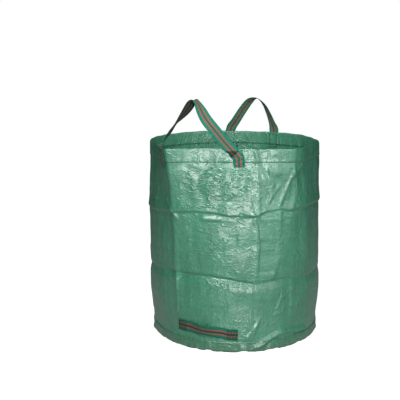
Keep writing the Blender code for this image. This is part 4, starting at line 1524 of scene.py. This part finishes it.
class GARDENBAG_OT_wall(Operator):
    """Make the woven sheet round the bag"""

    bl_idname = "garden_bag.wall"
    bl_label = "Wall"

    def execute(self, context):
        make_wall()
        return {"FINISHED"}


class GARDENBAG_OT_hem(Operator):
    """Make the doubled band round the mouth and its row of stitches"""

    bl_idname = "garden_bag.hem"
    bl_label = "Hem"

    def execute(self, context):
        make_hem()
        return {"FINISHED"}


class GARDENBAG_OT_base(Operator):
    """Make the bottom sheet and its row of stitches"""

    bl_idname = "garden_bag.base"
    bl_label = "Base"

    def execute(self, context):
        make_base()
        return {"FINISHED"}


class GARDENBAG_OT_side_seam(Operator):
    """Make the seam inside the back"""

    bl_idname = "garden_bag.side_seam"
    bl_label = "Side seam"

    def execute(self, context):
        make_side_seam()
        return {"FINISHED"}


class GARDENBAG_OT_loops(Operator):
    """Make the two carrying loops"""

    bl_idname = "garden_bag.loops"
    bl_label = "Carrying loops"

    def execute(self, context):
        # The front loop's inner side and the fold at its right foot take the near-black painted
        # shade copy of the webbing.
        make_loop("bag_front_loop", azimuth=0.0, spacing=0.295, height=0.172,
                  stations=FRONT_LOOP_SHARES,
                  nodes=["front_loop", "front_loop_left_end", "front_loop_right_end"],
                  sides=["webbing_face", "webbing_back"], painted_fold_shadow=(0.764, 0.738, 0.85))
        make_loop("bag_back_loop", azimuth=186.0, spacing=0.190, height=0.138,
                  stations=BACK_LOOP_SHARES,
                  nodes=["back_loop", "back_loop_left_end", "back_loop_right_end"],
                  sides=["webbing_face", "webbing_face"])
        return {"FINISHED"}


class GARDENBAG_OT_tipping_strap(Operator):
    """Make the tipping strap"""

    bl_idname = "garden_bag.tipping_strap"
    bl_label = "Tipping strap"

    def execute(self, context):
        make_tipping_strap()
        return {"FINISHED"}


class GARDENBAG_OT_stage(Operator):
    """Make the floor, the light and the camera"""

    bl_idname = "garden_bag.stage"
    bl_label = "Stage"

    def execute(self, context):
        make_stage()
        return {"FINISHED"}


STEPS = (GARDENBAG_OT_stage, GARDENBAG_OT_wall, GARDENBAG_OT_hem, GARDENBAG_OT_base,
         GARDENBAG_OT_side_seam, GARDENBAG_OT_loops, GARDENBAG_OT_tipping_strap)


class GARDENBAG_PT_panel(Panel):
    """The bag's pieces, colours and sizes"""

    bl_label = "Garden bag"
    bl_space_type = "VIEW_3D"
    bl_region_type = "UI"
    bl_category = "Garden bag"

    def draw(self, context):
        for name in ("cloth_colour", "webbing_colour", "stripe_colour", "thread_colour"):
            self.layout.prop(context.scene.garden_bag, name)
        for name in ("wall_cloth", "hem_cloth", "base_cloth", "webbing", "row_stitch",
                     "box_stitch"):
            self.layout.prop(context.scene.garden_bag_sizes, name)
        for step in STEPS:
            self.layout.operator(step.bl_idname)


CLASSES = (GardenBagLook, GardenBagSizes, *STEPS, GARDENBAG_PT_panel)


def register():
    """Add the bag's operators, panel, colours and sizes."""
    for item in CLASSES:
        bpy.utils.register_class(item)
    bpy.types.Scene.garden_bag = PointerProperty(type=GardenBagLook)
    bpy.types.Scene.garden_bag_sizes = PointerProperty(type=GardenBagSizes)


def unregister():
    """Take them away again."""
    del bpy.types.Scene.garden_bag_sizes
    del bpy.types.Scene.garden_bag
    for item in reversed(CLASSES):
        bpy.utils.unregister_class(item)


def main():
    """Make the whole bag."""
    register()
    for step in STEPS:
        group, action = step.bl_idname.split(".")
        getattr(getattr(bpy.ops, group), action)()


if __name__ == "__main__":
    main()
